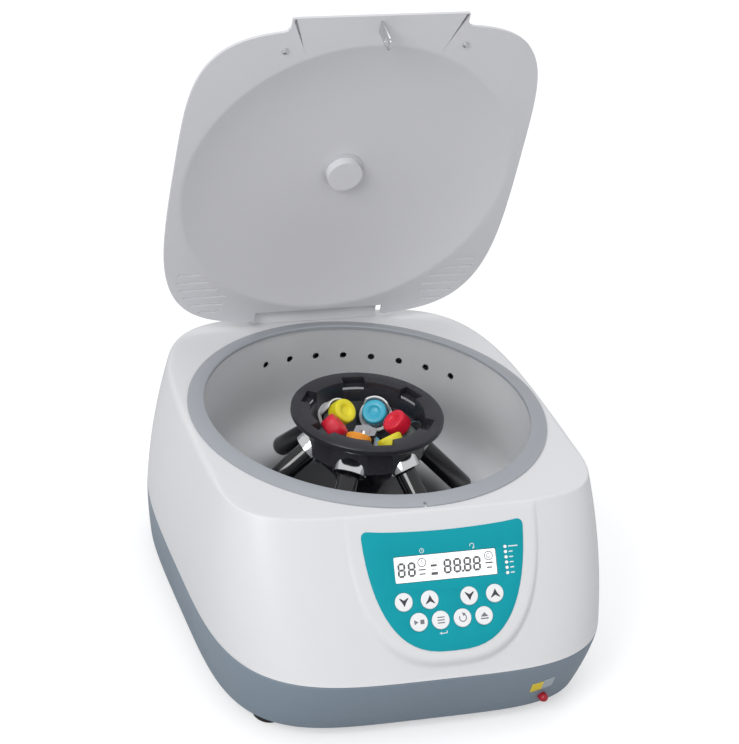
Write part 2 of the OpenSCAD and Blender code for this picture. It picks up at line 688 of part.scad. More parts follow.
// Black rotor head: flange with thumb notches, cup, cone and hub, bored for the sockets
module rotor_head() {
    cone_low = -mouth_depth - 0.6 - (mouth_r + 0.6 - well_floor_r);
    cone_high = -mouth_depth - 0.6 + (well_r - mouth_r - 0.6);
    color(black) difference() {
        on_deck() ring_solid([
            [flange_in_r, 0], [flange_r - 1, 0], [flange_r, -1], [flange_r, -flange_t + 1],
            [flange_r - 1, -flange_t], [drum_r, -flange_t - 0.5], [drum_r, -drum_depth + 0.8],
            [drum_r - 0.8, -drum_depth - 0.4], [waist_r + 1, -drum_depth - (drum_r - waist_r - 1)],
            [waist_r, -drum_depth - (drum_r - waist_r) - 3], [hub_r, hub_bottom - deck_z + 6],
            [hub_r, hub_bottom - deck_z], [shaft_r + 0.02, hub_bottom - deck_z],
            [shaft_r + 0.02, -well_depth + boss_up], [boss_r - 1, -well_depth + boss_up],
            [boss_r, -well_depth + boss_up - 1], [boss_r, -well_depth], [well_floor_r, cone_low],
            [well_r, cone_high], [well_r, -flange_t]]);
        for (i = [0:place_count - 1]) on_place(i) translate([0, 0, -30])
            cylinder(h = 42, r = socket_r + 0.02, $fn = 48);
        for (i = [0:place_count - 1]) rotate([0, 0, place_start + notch_turn + 360 / place_count * i])
            translate([well_r - 3, -notch_wide / 2, deck_z - flange_t - 3])
                cube([notch_out_r - well_r + 3, notch_wide, 20]);
    }
}
well_floor_r = mouth_r + 0.6 - (well_depth - mouth_depth - 0.6);
module rotor_nut() {
    color(steel) translate([0, 0, deck_z - well_depth + boss_up + 0.02]) difference() {
        union() {
            cylinder(h = 2, r = nut_r + 3);
            cylinder(h = nut_h, r = nut_r, $fn = 6);
        }
        translate([0, 0, -1]) cylinder(h = 30, r = shaft_r + 0.02);
    }
}
// Chromed socket at each place
module shield_collars() {
    color(steel) for (i = [0:place_count - 1]) on_place(i) rotate_extrude($fn = 48) polygon([
        [socket_r - socket_t, 0.3], [socket_r - socket_t + 0.3, 0], [socket_r - 0.3, 0], [socket_r, 0.3],
        [socket_r, socket_len], [socket_r - socket_t, socket_len]]);
}
// Dark inserts centre the shields in four of the sockets
module socket_inserts() {
    color(black) for (i = [0, 3, 4, 5]) on_place(i) rotate_extrude($fn = 48) polygon([
        [shield_r + 0.02, 0.8], [insert_r, 0.8], [insert_r, socket_len - 0.4], [shield_r + 0.02, socket_len - 0.4]]);
}
// White inserts in the other two have a rim on the socket and a curved wall at the back
module rack_sleeves() {
    color("white") for (i = [1, 2]) on_place(i) {
        rotate_extrude($fn = 48) polygon([
            [insert_hole_r, -1.2], [insert_hole_r + 0.4, -1.6], [socket_r - 0.4, -1.6], [socket_r, -1.2],
            [socket_r, -0.02], [insert_r, -0.02], [insert_r, socket_len - 0.4], [shield_r + 0.02, socket_len - 0.4],
            [shield_r + 0.02, 4], [insert_hole_r, 4]]);
        rotate([0, 0, 125]) translate([0, 0, -insert_wall]) rotate_extrude(angle = 110, $fn = 48)
            translate([insert_hole_r + 0.65, 0]) square([1, insert_wall - 1.1]);
    }
}
// Dark sleeve with a cushioned round end
module tube_shield(i) {
    round_z = shield_len - shield_r;
    outer = [for (a = [0:15:90]) [shield_r * cos(a), round_z + shield_r * sin(a)]];
    bottom = tube_end(i) + 0.02;
    inner = [for (a = [90:-15:0]) [shield_in_r * cos(a), bottom - shield_in_r + shield_in_r * sin(a)]];
    color(black) on_place(i) rotate_extrude($fn = 48)
        polygon(concat([[shield_in_r, 0.5], [shield_r, 0.5]], outer, inner));
}

// Sample tubes stand in the shields, each with a coloured cap
module sample_tubes() {
    color([0.85, 0.9, 0.9, 0.5]) for (i = [0:place_count - 1]) on_place(i) rotate_extrude($fn = 32)
        polygon(concat([[0, tube_end(i) - tube_len], [tube_r, tube_end(i) - tube_len]],
            [for (a = [0:15:90]) [tube_r * cos(a), tube_end(i) - tube_r + tube_r * sin(a)]]));
}
module tube_cap(i) {
    color(cap_colours[i]) on_place(i) translate([0, 0, -cap_face[i]]) rotate_extrude($fn = 48) polygon([
        [0, 1.4], [cap_r - 5.6, 1.4], [cap_r - 4.8, 0.4], [cap_r - 1.4, 0], [cap_r - 0.4, 0.5], [cap_r, 1.6],
        [cap_r - 0.3, cap_len], [tube_r + 0.02, cap_len], [tube_r + 0.02, 2.98], [0, 2.98]]);
}

// Lid, drawn closed about the hinge pin and opened by on_lid
lid_up = lip_depth + rest_gap - hinge_up;
function lid_ring(inset, w) = [for (p = oval_outline(lid_oval, inset)) [p[0], p[1] - hinge_y, w + lid_up]];
function lid_flat(inset) = [for (p = oval_outline(lid_oval, inset)) [p[0], p[1] - hinge_y]];
swing_r = hinge_up - 1.1;
// Room for the back of the dish under the solid part round the hinge
dish_room = 2.4;
notch_edge = 2;
module lid_shell() {
    round_in = lid_round - lid_wall;
    outer = concat(
        [lid_ring(0.8, -lip_depth), lid_ring(0, -lip_depth + 1), lid_ring(0, lid_side)],
        [for (a = [22.5, 45, 67.5]) lid_ring(lid_round * (1 - cos(a)), lid_side + lid_round * sin(a))],
        [lid_ring(lid_round + 26, lid_side + lid_round + lid_crown * 0.5),
         lid_ring(lid_round + 74, lid_side + lid_round + lid_crown)]);
    inner = concat(
        [lid_ring(lip_t, -lip_depth - 1), lid_ring(lip_t, lid_side)],
        [for (a = [30, 60]) lid_ring(lip_t + round_in * (1 - cos(a)), lid_side + round_in * sin(a))],
        [lid_ring(lid_round + 26, lid_side + round_in + lid_crown * 0.5),
         lid_ring(lid_round + 74, lid_side + round_in + lid_crown)]);
    color(white) on_lid() difference() {
        union() {
            loft(outer);
            tab_block(0, 0, lid_side + 1);
        }
        difference() {
            loft(inner);
            translate([-notch_w - 2.6, -9, lid_up + liner_t + dish_room]) cube([2 * notch_w + 5.2, 60, 60]);
        }
        tab_block(lip_t, -1, lid_side + 1 - lid_wall);
        lid_hinge_cut();
        rotate([0, 90, 0]) cylinder(h = 130, r = pin_r + run_gap, center = true);
        translate([0, dish_y - hinge_y, lid_up]) cylinder(h = 60, r = port_r - 0.4 + rest_gap);
    }
}
// The finger tab: a shallow box in front of the oval
module tab_block(inset, extra, top) {
    y_tab = -lid_front - tab_out - hinge_y + inset;
    translate([0, y_tab + 30, (top - lip_depth + extra) / 2 + lid_up])
        rounded_box([2 * (tab_w - inset), 60, top + lip_depth - extra], 4 - inset / 2);
}
// Clears the hinge hump and lets the back of the lid swing over the deck
module lid_hinge_cut() {
    translate([-notch_w, notch_edge, -50]) cube([2 * notch_w, 60, 100]);
    rotate([0, 90, 0]) cylinder(h = 2 * notch_w, r = hinge_r + relief_gap, center = true);
    difference() {
        translate([-200, 0, -60]) cube([400, 60, 60]);
        rotate([0, 90, 0]) cylinder(h = 401, r = swing_r, center = true);
    }
}

// Inner liner with the shallow dish, vent slots and port
module lid_liner() {
    color([0.8, 0.8, 0.82]) on_lid() difference() {
        union() {
            translate([0, 0, lid_up]) linear_extrude(liner_t) difference() {
                polygon(lid_flat(lip_t + 0.3));
                translate([0, dish_y - hinge_y]) circle(dish_r - 1, $fn = 144);
            }
            translate([0, dish_y - hinge_y, lid_up]) ring_solid(dish_profile());
            translate([0, -lid_front - hinge_y - (tab_out - lip_t - 0.3 - 14) / 2, lid_up + liner_t / 2])
                rounded_box([2 * (tab_w - lip_t - 0.3), tab_out - lip_t - 0.3 + 14, liner_t], 2);
        }
        lid_hinge_cut();
        for (side = [-1, 1], k = [0:5]) liner_slot(side, k);
    }
}
function dish_drop(r) = dish_depth * (1 - pow(r / dish_r, 3.5));
dish_steps = 9;
function dish_r_at(i) = lerp(port_r, dish_r, i / dish_steps);
function dish_profile() = concat(
    [for (i = [0:dish_steps]) [dish_r_at(i), dish_drop(dish_r_at(i))]],
    [for (i = [dish_steps:-1:0]) [dish_r_at(i), dish_drop(dish_r_at(i)) + (i == dish_steps ? liner_t : liner_t * 0.8)]]);
slot_h = 2;
slot_step = 7.7;
slot_y = 130;
slot_from = [79.3, 77.1, 75.7, 82.7, 91.1, 98.4];
slot_to = [95.2, 103.6, 109, 112.7, 115.6, 116.5];
module liner_slot(side, k) {
    y = slot_y - slot_step * k - hinge_y;
    translate([side * (slot_from[k] + slot_to[k]) / 2, y, lid_up])
        rounded_box([slot_to[k] - slot_from[k], slot_h, 20], slot_h / 2 - 0.05);
}
// Clear port and the ring that holds it
module lid_port() {
    color([0.9, 0.95, 1, 0.35]) on_lid() translate([0, dish_y - hinge_y, lid_up + dish_depth + 0.2])
        cylinder(h = lid_side + lid_round + lid_crown - dish_depth - 0.4, r = port_r - 0.4);
}
module port_ring() {
    color("silver") on_lid() translate([0, dish_y - hinge_y, lid_up + dish_depth]) ring_solid([
        [port_r - 0.3, -0.2], [port_r - 1.6, -0.2], [port_r - 1.6, -0.9], [port_r + 2.4, -0.9],
        [port_r + 2.4, -0.25], [port_r - 0.3, -0.25]]);
}

// Flat steel latch plate with its slotted eye
module latch_plate() {
    color(steel) on_lid() translate([-latch_t / 2, 0, 0]) rotate([90, 0, 90]) linear_extrude(latch_t) difference() {
        translate([-latch_front - hinge_y, lid_up - latch_len]) union() {
            translate([0, 2]) square([latch_w, latch_len - 2 - rest_gap]);
            translate([1.6, 0]) square([latch_w - 3.2, 3]);
        }
        for (z = [bolt_up - hinge_up, bolt_up - hinge_up + 5]) translate([bolt_y - hinge_y, z]) circle(bolt_r + 0.7, $fn = 32);
        translate([bolt_y - hinge_y, bolt_up - hinge_up + 2.5]) square([2 * bolt_r + 1.4, 5], center = true);
    }
}
// Four round headed screws on the liner
screw_x = 66.2;
screw_front = 114;
module lid_screws() {
    color(steel) on_lid() for (side = [-1, 1])
        translate([side * screw_x, -screw_front - hinge_y, lid_up - 0.02]) mirror([0, 0, 1]) rotate_extrude($fn = 32)
            polygon([[0, 0], [2.6, 0], [2.3, 1], [1, 1.6], [0, 1.6]]);
}
// Blocks inside the lid that turn on the ends of the hinge pin
module hinge_knuckles() {
    color(black) on_lid() for (side = [-1, 1]) difference() {
        translate([side * (notch_w + 7.6), -4.5, lid_up + liner_t + 5.4]) cube([9.4, 17, 10.8], center = true);
        rotate([0, 90, 0]) cylinder(h = 200, r = pin_r + run_gap, center = true);
    }
}

at_origin() base_shell();
at_origin() top_cover();
at_origin() chamber_bowl();
at_origin() chamber_gasket();
at_origin() hinge_housing();
at_origin() hinge_pin();
at_origin() panel_label();
at_origin() display_pane();
at_origin() display_module();
at_origin() status_lamps();
at_origin() control_board();
at_origin() key(0);  // key_time_down
at_origin() key(1);  // key_time_up
at_origin() key(2);  // key_speed_down
at_origin() key(3);  // key_speed_up
at_origin() key(4);  // key_start_stop
at_origin() key(5);  // key_program
at_origin() key(6);  // key_short_spin
at_origin() key(7);  // key_lid_open
at_origin() motor_plate();
at_origin() drive_motor();
at_origin() motor_dampers();
at_origin() power_board();
at_origin() latch_housing();
at_origin() latch_coil();
at_origin() latch_bolt();
at_origin() power_inlet();
at_origin() inlet_pins();
at_origin() switch_bezel();
at_origin() power_rocker();
at_origin() rubber_feet();
at_origin() case_screws();
at_origin() release_pull();
at_origin() motor_shaft();
at_origin() rotor_head();
at_origin() rotor_nut();
at_origin() shield_collars();
at_origin() socket_inserts();
at_origin() tube_shield(0);  // tube_shield_1
at_origin() tube_shield(1);  // tube_shield_2
at_origin() tube_shield(2);  // tube_shield_3
at_origin() tube_shield(3);  // tube_shield_4
at_origin() tube_shield(4);  // tube_shield_5
at_origin() tube_shield(5);  // tube_shield_6
at_origin() sample_tubes();
at_origin() tube_cap(0);  // tube_cap_1
at_origin() tube_cap(1);  // tube_cap_2
at_origin() tube_cap(2);  // tube_cap_3
at_origin() tube_cap(3);  // tube_cap_4
at_origin() tube_cap(4);  // tube_cap_5
at_origin() tube_cap(5);  // tube_cap_6
at_origin() rack_sleeves();
at_origin() lid_shell();
at_origin() lid_liner();
at_origin() lid_port();
at_origin() port_ring();
at_origin() latch_plate();
at_origin() lid_screws();
at_origin() hinge_knuckles();
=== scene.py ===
import bpy
import bmesh
import math
import numpy as np
from mathutils import Matrix, Vector


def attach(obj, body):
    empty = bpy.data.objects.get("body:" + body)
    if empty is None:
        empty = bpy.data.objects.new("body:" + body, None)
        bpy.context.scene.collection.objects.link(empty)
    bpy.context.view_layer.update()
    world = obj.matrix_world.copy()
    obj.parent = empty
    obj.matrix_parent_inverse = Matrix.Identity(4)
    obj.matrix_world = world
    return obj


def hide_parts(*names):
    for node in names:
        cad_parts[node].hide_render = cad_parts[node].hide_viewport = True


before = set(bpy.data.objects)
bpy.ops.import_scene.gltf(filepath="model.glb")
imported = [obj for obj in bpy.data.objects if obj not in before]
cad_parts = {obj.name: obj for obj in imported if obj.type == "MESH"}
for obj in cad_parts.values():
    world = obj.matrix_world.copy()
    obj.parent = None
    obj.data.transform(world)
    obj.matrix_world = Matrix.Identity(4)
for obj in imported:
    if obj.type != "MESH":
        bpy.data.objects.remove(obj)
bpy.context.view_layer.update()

# Every helper works in millimetres about the rotor axis, with the table at z = 0.
MM = 0.001
AXIS_Y = 23.25
DECK, SEAM, BASE = 150.0, 54.0, 8.4
SEAM_OVAL = (145.0, 198.0, 150.0, -32.0, 3.9, 0.03)
DECK_OVAL = (135.0, 134.0, 148.0, -44.0, 4.8, 0.07)
BASE_OVAL = (136.0, 182.0, 146.0, -18.0, 4.35, 0.02)
LID_OVAL = (134.7, 134.8, 147.3, -1.0, 4.4, 0.05)
HINGE_Y, HINGE_UP, LID_UP, OPEN = 132.6, 19.5, -8.8, 75.5


def srgb(r, g, b):
    """Linear colour of three 0 to 255 display values."""
    out = []
    for v in (r, g, b):
        v = v / 255.0
        out.append(v / 12.92 if v <= 0.04045 else ((v + 0.055) / 1.055) ** 2.4)
    return (out[0], out[1], out[2], 1.0)


# Materials
def material(name, color, rough=0.4, spread=0.06, metal=0.0, tint=0.04, broad=14.0, grain=1500.0, bump=0.03,
             coat=0.0, alpha=1.0, glow=0.0, edge_light=0.0, stretch=(1, 1, 1), specular=0.5):
    m = bpy.data.materials.new(name)
    m.use_nodes = True
    nodes, links = m.node_tree.nodes, m.node_tree.links
    b = nodes["Principled BSDF"]
    place = nodes.new("ShaderNodeTexCoord")
    turn = nodes.new("ShaderNodeMapping")
    turn.inputs["Scale"].default_value = stretch
    links.new(place.outputs["Object"], turn.inputs["Vector"])
    cloud = nodes.new("ShaderNodeTexNoise")
    cloud.inputs["Scale"].default_value = broad
    cloud.inputs["Detail"].default_value = 4.0
    links.new(turn.outputs["Vector"], cloud.inputs["Vector"])
    fine = nodes.new("ShaderNodeTexNoise")
    fine.inputs["Scale"].default_value = grain
    fine.inputs["Detail"].default_value = 3.0
    links.new(turn.outputs["Vector"], fine.inputs["Vector"])
    mix = nodes.new("ShaderNodeMix")
    mix.data_type = "RGBA"
    mix.inputs["A"].default_value = color
    mix.inputs["B"].default_value = tuple(c * (1.0 - tint * 2.2) for c in color[:3]) + (1.0,)
    links.new(cloud.outputs["Fac"], mix.inputs["Factor"])
    shade = mix.outputs["Result"]
    # Painted highlight: convex edges, found by pointiness, get a lighter colour, as if they caught the light.
    if edge_light > 0:
        geo = nodes.new("ShaderNodeNewGeometry")
        edge = nodes.new("ShaderNodeMapRange")
        edge.inputs["From Min"].default_value = 0.52
        edge.inputs["From Max"].default_value = 0.62
        edge.inputs["To Max"].default_value = edge_light
        links.new(geo.outputs["Pointiness"], edge.inputs["Value"])
        lit_edge = nodes.new("ShaderNodeMix")
        lit_edge.data_type = "RGBA"
        lit_edge.inputs["B"].default_value = tuple(min(1.0, c * 1.25 + 0.03) for c in color[:3]) + (1.0,)
        links.new(edge.outputs["Result"], lit_edge.inputs["Factor"])
        links.new(shade, lit_edge.inputs["A"])
        shade = lit_edge.outputs["Result"]
    links.new(shade, b.inputs["Base Color"])
    polish = nodes.new("ShaderNodeMapRange")
    polish.inputs["From Min"].default_value = 0.3
    polish.inputs["From Max"].default_value = 0.7
    polish.inputs["To Min"].default_value = max(0.02, rough - spread)
    polish.inputs["To Max"].default_value = rough + spread
    links.new(cloud.outputs["Fac"], polish.inputs["Value"])
    links.new(polish.outputs["Result"], b.inputs["Roughness"])
    if bump > 0:
        bumps = nodes.new("ShaderNodeBump")
        bumps.inputs["Strength"].default_value = bump
        bumps.inputs["Distance"].default_value = 0.0005
        links.new(fine.outputs["Fac"], bumps.inputs["Height"])
        links.new(bumps.outputs["Normal"], b.inputs["Normal"])
    b.inputs["Metallic"].default_value = metal
    b.inputs["Specular IOR Level"].default_value = specular
    b.inputs["Coat Weight"].default_value = coat
    b.inputs["Coat Roughness"].default_value = 0.08
    b.inputs["Alpha"].default_value = alpha
    if glow > 0:
        b.inputs["Emission Color"].default_value = color
        b.inputs["Emission Strength"].default_value = glow
    m.diffuse_color = color
    return m


WHITE = material("white_plastic", (0.735, 0.735, 0.75, 1), 0.36, 0.05, tint=0.012, bump=0.05, edge_light=0.25)
LID_WHITE = material("lid_plastic", (0.70, 0.70, 0.72, 1), 0.42, 0.05, tint=0.015, bump=0.05, edge_light=0.2)
LINER = material("liner_plastic", (0.69, 0.69, 0.72, 1), 0.5, 0.06, tint=0.02, bump=0.05)
GREY = material("grey_plastic", srgb(128, 142, 155), 0.42, 0.05, tint=0.03, bump=0.06, edge_light=0.25)
RING = material("ring_plastic", srgb(158, 162, 168), 0.38, 0.06, tint=0.02, bump=0.05, edge_light=0.2)
SATIN = material("satin_steel", (0.80, 0.805, 0.815, 1), 0.42, 0.02, metal=0.45, tint=0.008, broad=12.0,
                 grain=400.0,
                 bump=0.02, stretch=(1, 1, 6))
STEEL = material("bright_steel", (0.72, 0.73, 0.74, 1), 0.22, 0.06, metal=1.0, tint=0.04, grain=700.0,
                 bump=0.03)
CHROME = material("chromed_tube", (0.86, 0.87, 0.88, 1), 0.08, 0.03, metal=1.0, tint=0.02, bump=0.01)
BLACK = material("black_plastic", (0.012, 0.012, 0.014, 1), 0.34, 0.06, tint=0.1, bump=0.04, edge_light=0.2)
ROTOR = material("rotor_black", (0.02, 0.02, 0.027, 1), 0.28, 0.06, tint=0.1, bump=0.05, edge_light=0.3)
SHIELD = material("shield_black", (0.006, 0.006, 0.008, 1), 0.14, 0.04, tint=0.1, bump=0.02, coat=0.5)
RUBBER = material("rubber_black", (0.02, 0.02, 0.02, 1), 0.75, 0.08, tint=0.1, bump=0.12)
TEAL = material("teal_label", srgb(6, 156, 169), 0.5, 0.04, tint=0.015, broad=40.0, bump=0.02, specular=0.2)
# Painted light: the display field is given a glow so that it reads bright where it lies in shade.
LCD = material("lcd_glass", (0.90, 0.91, 0.92, 1), 0.22, 0.03, tint=0.01, bump=0.0, glow=0.55)
PANE = material("clear_pane", (0.95, 0.97, 0.98, 1), 0.06, 0.02, tint=0.01, bump=0.0, alpha=0.06)
INK = material("lcd_ink", (0.012, 0.012, 0.016, 1), 0.45, 0.05, tint=0.05, bump=0.0)
FAINT = material("lcd_faint_ink", (0.30, 0.30, 0.31, 1), 0.45, 0.05, tint=0.05, bump=0.0)
# Painted light: the white print is given a faint glow that lifts it.
PRINT = material("white_print", (0.83, 0.85, 0.86, 1), 0.4, 0.05, tint=0.02, bump=0.0, glow=0.05)
# Painted light: the white keys are given a faint glow that lifts them.
KEY = material("white_key", (0.86, 0.86, 0.87, 1), 0.4, 0.05, tint=0.01, bump=0.03, glow=0.04)
KEY_INK = material("key_print", (0.045, 0.05, 0.06, 1), 0.5, 0.05, tint=0.05, bump=0.0)
KEY_GREY = material("key_grey_print", (0.20, 0.21, 0.23, 1), 0.5, 0.05, tint=0.05, bump=0.0)
LAMP = material("lamp_lens", (0.88, 0.9, 0.92, 1), 0.2, 0.04, tint=0.02, bump=0.0, glow=0.15)
BOARD = material("circuit_green", (0.015, 0.11, 0.045, 1), 0.45, 0.1, tint=0.15, broad=300.0, bump=0.15)
COPPER = material("wound_copper", (0.50, 0.20, 0.08, 1), 0.4, 0.08, metal=0.8, tint=0.1, bump=0.3,
                  stretch=(12, 1, 1))
CAST = material("cast_grey", (0.16, 0.165, 0.17, 1), 0.5, 0.1, metal=0.6, tint=0.1, bump=0.2, grain=500.0)
GLASS = material("tube_plastic", (0.80, 0.86, 0.86, 1), 0.12, 0.03, tint=0.02, bump=0.01, alpha=0.35)
PORT = material("clear_port", (0.86, 0.90, 0.92, 1), 0.05, 0.02, tint=0.02, bump=0.0, alpha=0.22)
PORT_RING = material("port_ring_plastic", (0.62, 0.62, 0.65, 1), 0.3, 0.05, tint=0.02, bump=0.02)
RED = material("red_stopper", srgb(226, 30, 58), 0.34, 0.06, tint=0.05, bump=0.06)
CYAN = material("cyan_stopper", srgb(60, 178, 208), 0.34, 0.06, tint=0.05, bump=0.06)
YELLOW = material("yellow_stopper", srgb(238, 226, 40), 0.34, 0.06, tint=0.05, bump=0.06)
ORANGE = material("orange_stopper", srgb(240, 150, 30), 0.34, 0.06, tint=0.05, bump=0.06)
SLEEVE = material("white_insert", (0.82, 0.82, 0.84, 1), 0.35, 0.05, tint=0.02, bump=0.04)
PULL = material("red_knob", srgb(176, 20, 40), 0.35, 0.05, tint=0.05, bump=0.04)
TAG_YELLOW = material("yellow_plate", srgb(240, 214, 40), 0.4, 0.05, tint=0.03, bump=0.02)
TAG_GREY = material("grey_plate", srgb(176, 184, 190), 0.35, 0.05, tint=0.03, bump=0.02)


def paint_bowl_shade(m):
    """Painted shade and painted reflection: the middle of the bowl floor, under the rotor, is coloured near
    black.
    """
    nodes, links = m.node_tree.nodes, m.node_tree.links
    b = nodes["Principled BSDF"]
    place = nodes.new("ShaderNodeTexCoord")
    shift = nodes.new("ShaderNodeVectorMath")
    shift.operation = "SUBTRACT"
    shift.inputs[1].default_value = (0, AXIS_Y * MM, 0)
    flat = nodes.new("ShaderNodeVectorMath")
    flat.operation = "MULTIPLY"
    flat.inputs[1].default_value = (1, 1, 0)
    length = nodes.new("ShaderNodeVectorMath")
    length.operation = "LENGTH"
    fade = nodes.new("ShaderNodeMapRange")
    fade.interpolation_type = "SMOOTHSTEP"
    fade.inputs["From Min"].default_value = 0.064
    fade.inputs["From Max"].default_value = 0.103
    mix = nodes.new("ShaderNodeMix")
    mix.data_type = "RGBA"
    mix.inputs["A"].default_value = (0.018, 0.018, 0.021, 1)
    old = b.inputs["Base Color"].links[0].from_socket
    links.new(place.outputs["Object"], shift.inputs[0])
    links.new(shift.outputs["Vector"], flat.inputs[0])
    links.new(flat.outputs["Vector"], length.inputs[0])
    links.new(length.outputs["Value"], fade.inputs["Value"])
    links.new(fade.outputs["Result"], mix.inputs["Factor"])
    links.new(old, mix.inputs["B"])
    links.new(mix.outputs["Result"], b.inputs["Base Color"])


paint_bowl_shade(SATIN)


# Mesh helpers
def row(points):
    """Millimetres about the rotor axis as metres in the row frame."""
    p = np.array(points, float).reshape(-1, 3) * MM
    p[:, 1] += AXIS_Y * MM
    return p


def piece(name, points, faces, mat, body, angle=32.0, replaces=(), bevel=0.0):
    mesh = bpy.data.meshes.new(name)
    mesh.from_pydata(row(points).tolist(), [], [list(map(int, f)) for f in faces])
    mesh.validate()
    o = bpy.data.objects.new(name, mesh)
    bpy.context.scene.collection.objects.link(o)
    mesh.polygons.foreach_set("use_smooth", [True] * len(mesh.polygons))
    mesh.set_sharp_from_angle(angle=math.radians(angle))
    mesh.materials.append(mat)
    if bevel:
        add_bevel(o, bevel)
    if replaces:
        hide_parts(*replaces)
    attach(o, body)
    return o


def add_bevel(o, width, angle=30.0, segments=2):
    m = o.modifiers.new("rounded_edges", "BEVEL")
    m.width = width * MM
    m.segments = segments
    m.limit_method = "ANGLE"
    m.angle_limit = math.radians(angle)
    m.harden_normals = False
    return m


def grid_faces(rows, cols, wrap=True, flip=False):
    n = cols if wrap else cols - 1
    out = []
    for k in range(rows - 1):
        for i in range(n):
            j = (i + 1) % cols
            f = (k * cols + i, k * cols + j, (k + 1) * cols + j, (k + 1) * cols + i)
            out.append(f[::-1] if flip else f)
    return out


def oval(o, th, inset):
    """x and y of the squared oval at the angles th, moved in by inset."""
    c, s = np.cos(th), np.sin(th)
    r = (np.abs(c) ** o[4] + np.abs(s) ** o[4]) ** (-1.0 / o[4])
    half = np.where(s < 0, o[1] + o[3], o[2] - o[3])
    y = (half - inset) * s * r
    u = np.where(y > 0, y / half, 0.0)
    return (o[0] - inset) * c * r * (1 - o[5] * u * u), y + o[3]


def mix_oval(a, b, t):
    return tuple(p + (q - p) * t for p, q in zip(a, b))


def cover_oval(z):
    s = (DECK - z) / (DECK - SEAM)
    o = mix_oval(DECK_OVAL, SEAM_OVAL, s)
    d = 3.0 * 4 * s * (1 - s)
    return (o[0] + d, o[1] + d / 2) + o[2:]


def base_oval(z):
    return mix_oval(SEAM_OVAL, BASE_OVAL, ((SEAM - z) / (SEAM - BASE)) ** 1.3)


def smooth_max(a, b, k):
    h = np.clip(0.5 + 0.5 * (a - b) / k, 0, 1)
    return b * (1 - h) + a * h + k * h * (1 - h)


# Panel frame: x to the right, s down the slope, h out of the panel
TILT = math.atan2(DECK - SEAM, 198.0 - 134.0) - math.radians(2.5)
PANEL_O = np.array([9.0, -134.0, DECK])
PX = np.array([1.0, 0.0, 0.0])
PY = np.array([0.0, math.cos(TILT), math.sin(TILT)])
PZ = np.array([0.0, -math.sin(TILT), math.cos(TILT)])


def on_panel(x, s, h):
    across = np.multiply.outer(np.asarray(x, float), PX)
    down = np.multiply.outer(np.asarray(s, float), PY)
    return PANEL_O + across - down \
        + np.multiply.outer(np.asarray(h, float), PZ)


def shield(w, l, top, sag, corner):
    """Outline of the shield shape, as in the CAD, as x and s."""
    a_top = math.acos(max(top + corner, 0) ** 1.15 / l ** 1.15)
    side = [(w * math.sin(a_top * i / 32) ** (2 / 2.8), l * math.cos(a_top * i / 32) ** (2 / 2.3))
            for i in range(33)]
    x_top = side[-1][0]
    bend = [(x_top - corner * (1 - math.cos(math.radians(t))), top + corner * (1 - math.sin(math.radians(t))))
            for t in (30, 60, 90)]
    edge = []
    for i in range(1, 10):
        x = (x_top - corner) * (1 - i / 5)
        edge.append((x, top + sag * (1 - (x / x_top) ** 2)))
    left = [(-x, s) for x, s in bend[::-1]]
    back = [(-x, s) for x, s in side[:0:-1]]
    return np.array(side + bend + edge + left + back)


def distance(px, ps, poly):
    """Signed distance from points to a closed outline, negative inside."""
    a, b = poly, np.roll(poly, -1, axis=0)
    p = np.stack([px, ps], -1)[:, None, :]
    e = b - a
    w = p - a[None]
    t = np.clip((w * e).sum(-1) / np.maximum((e * e).sum(-1), 1e-9), 0, 1)
    d = np.sqrt(((w - e[None] * t[..., None]) ** 2).sum(-1)).min(-1)
    c1 = a[None, :, 1] <= p[..., 1]
    c2 = b[None, :, 1] > p[..., 1]
    side = e[None, :, 0] * w[..., 1] - e[None, :, 1] * w[..., 0]
    wind = ((c1 & c2 & (side > 0)).astype(int) - (~c1 & ~c2 & (side < 0)).astype(int)).sum(-1)
    return np.where(wind != 0, -d, d)


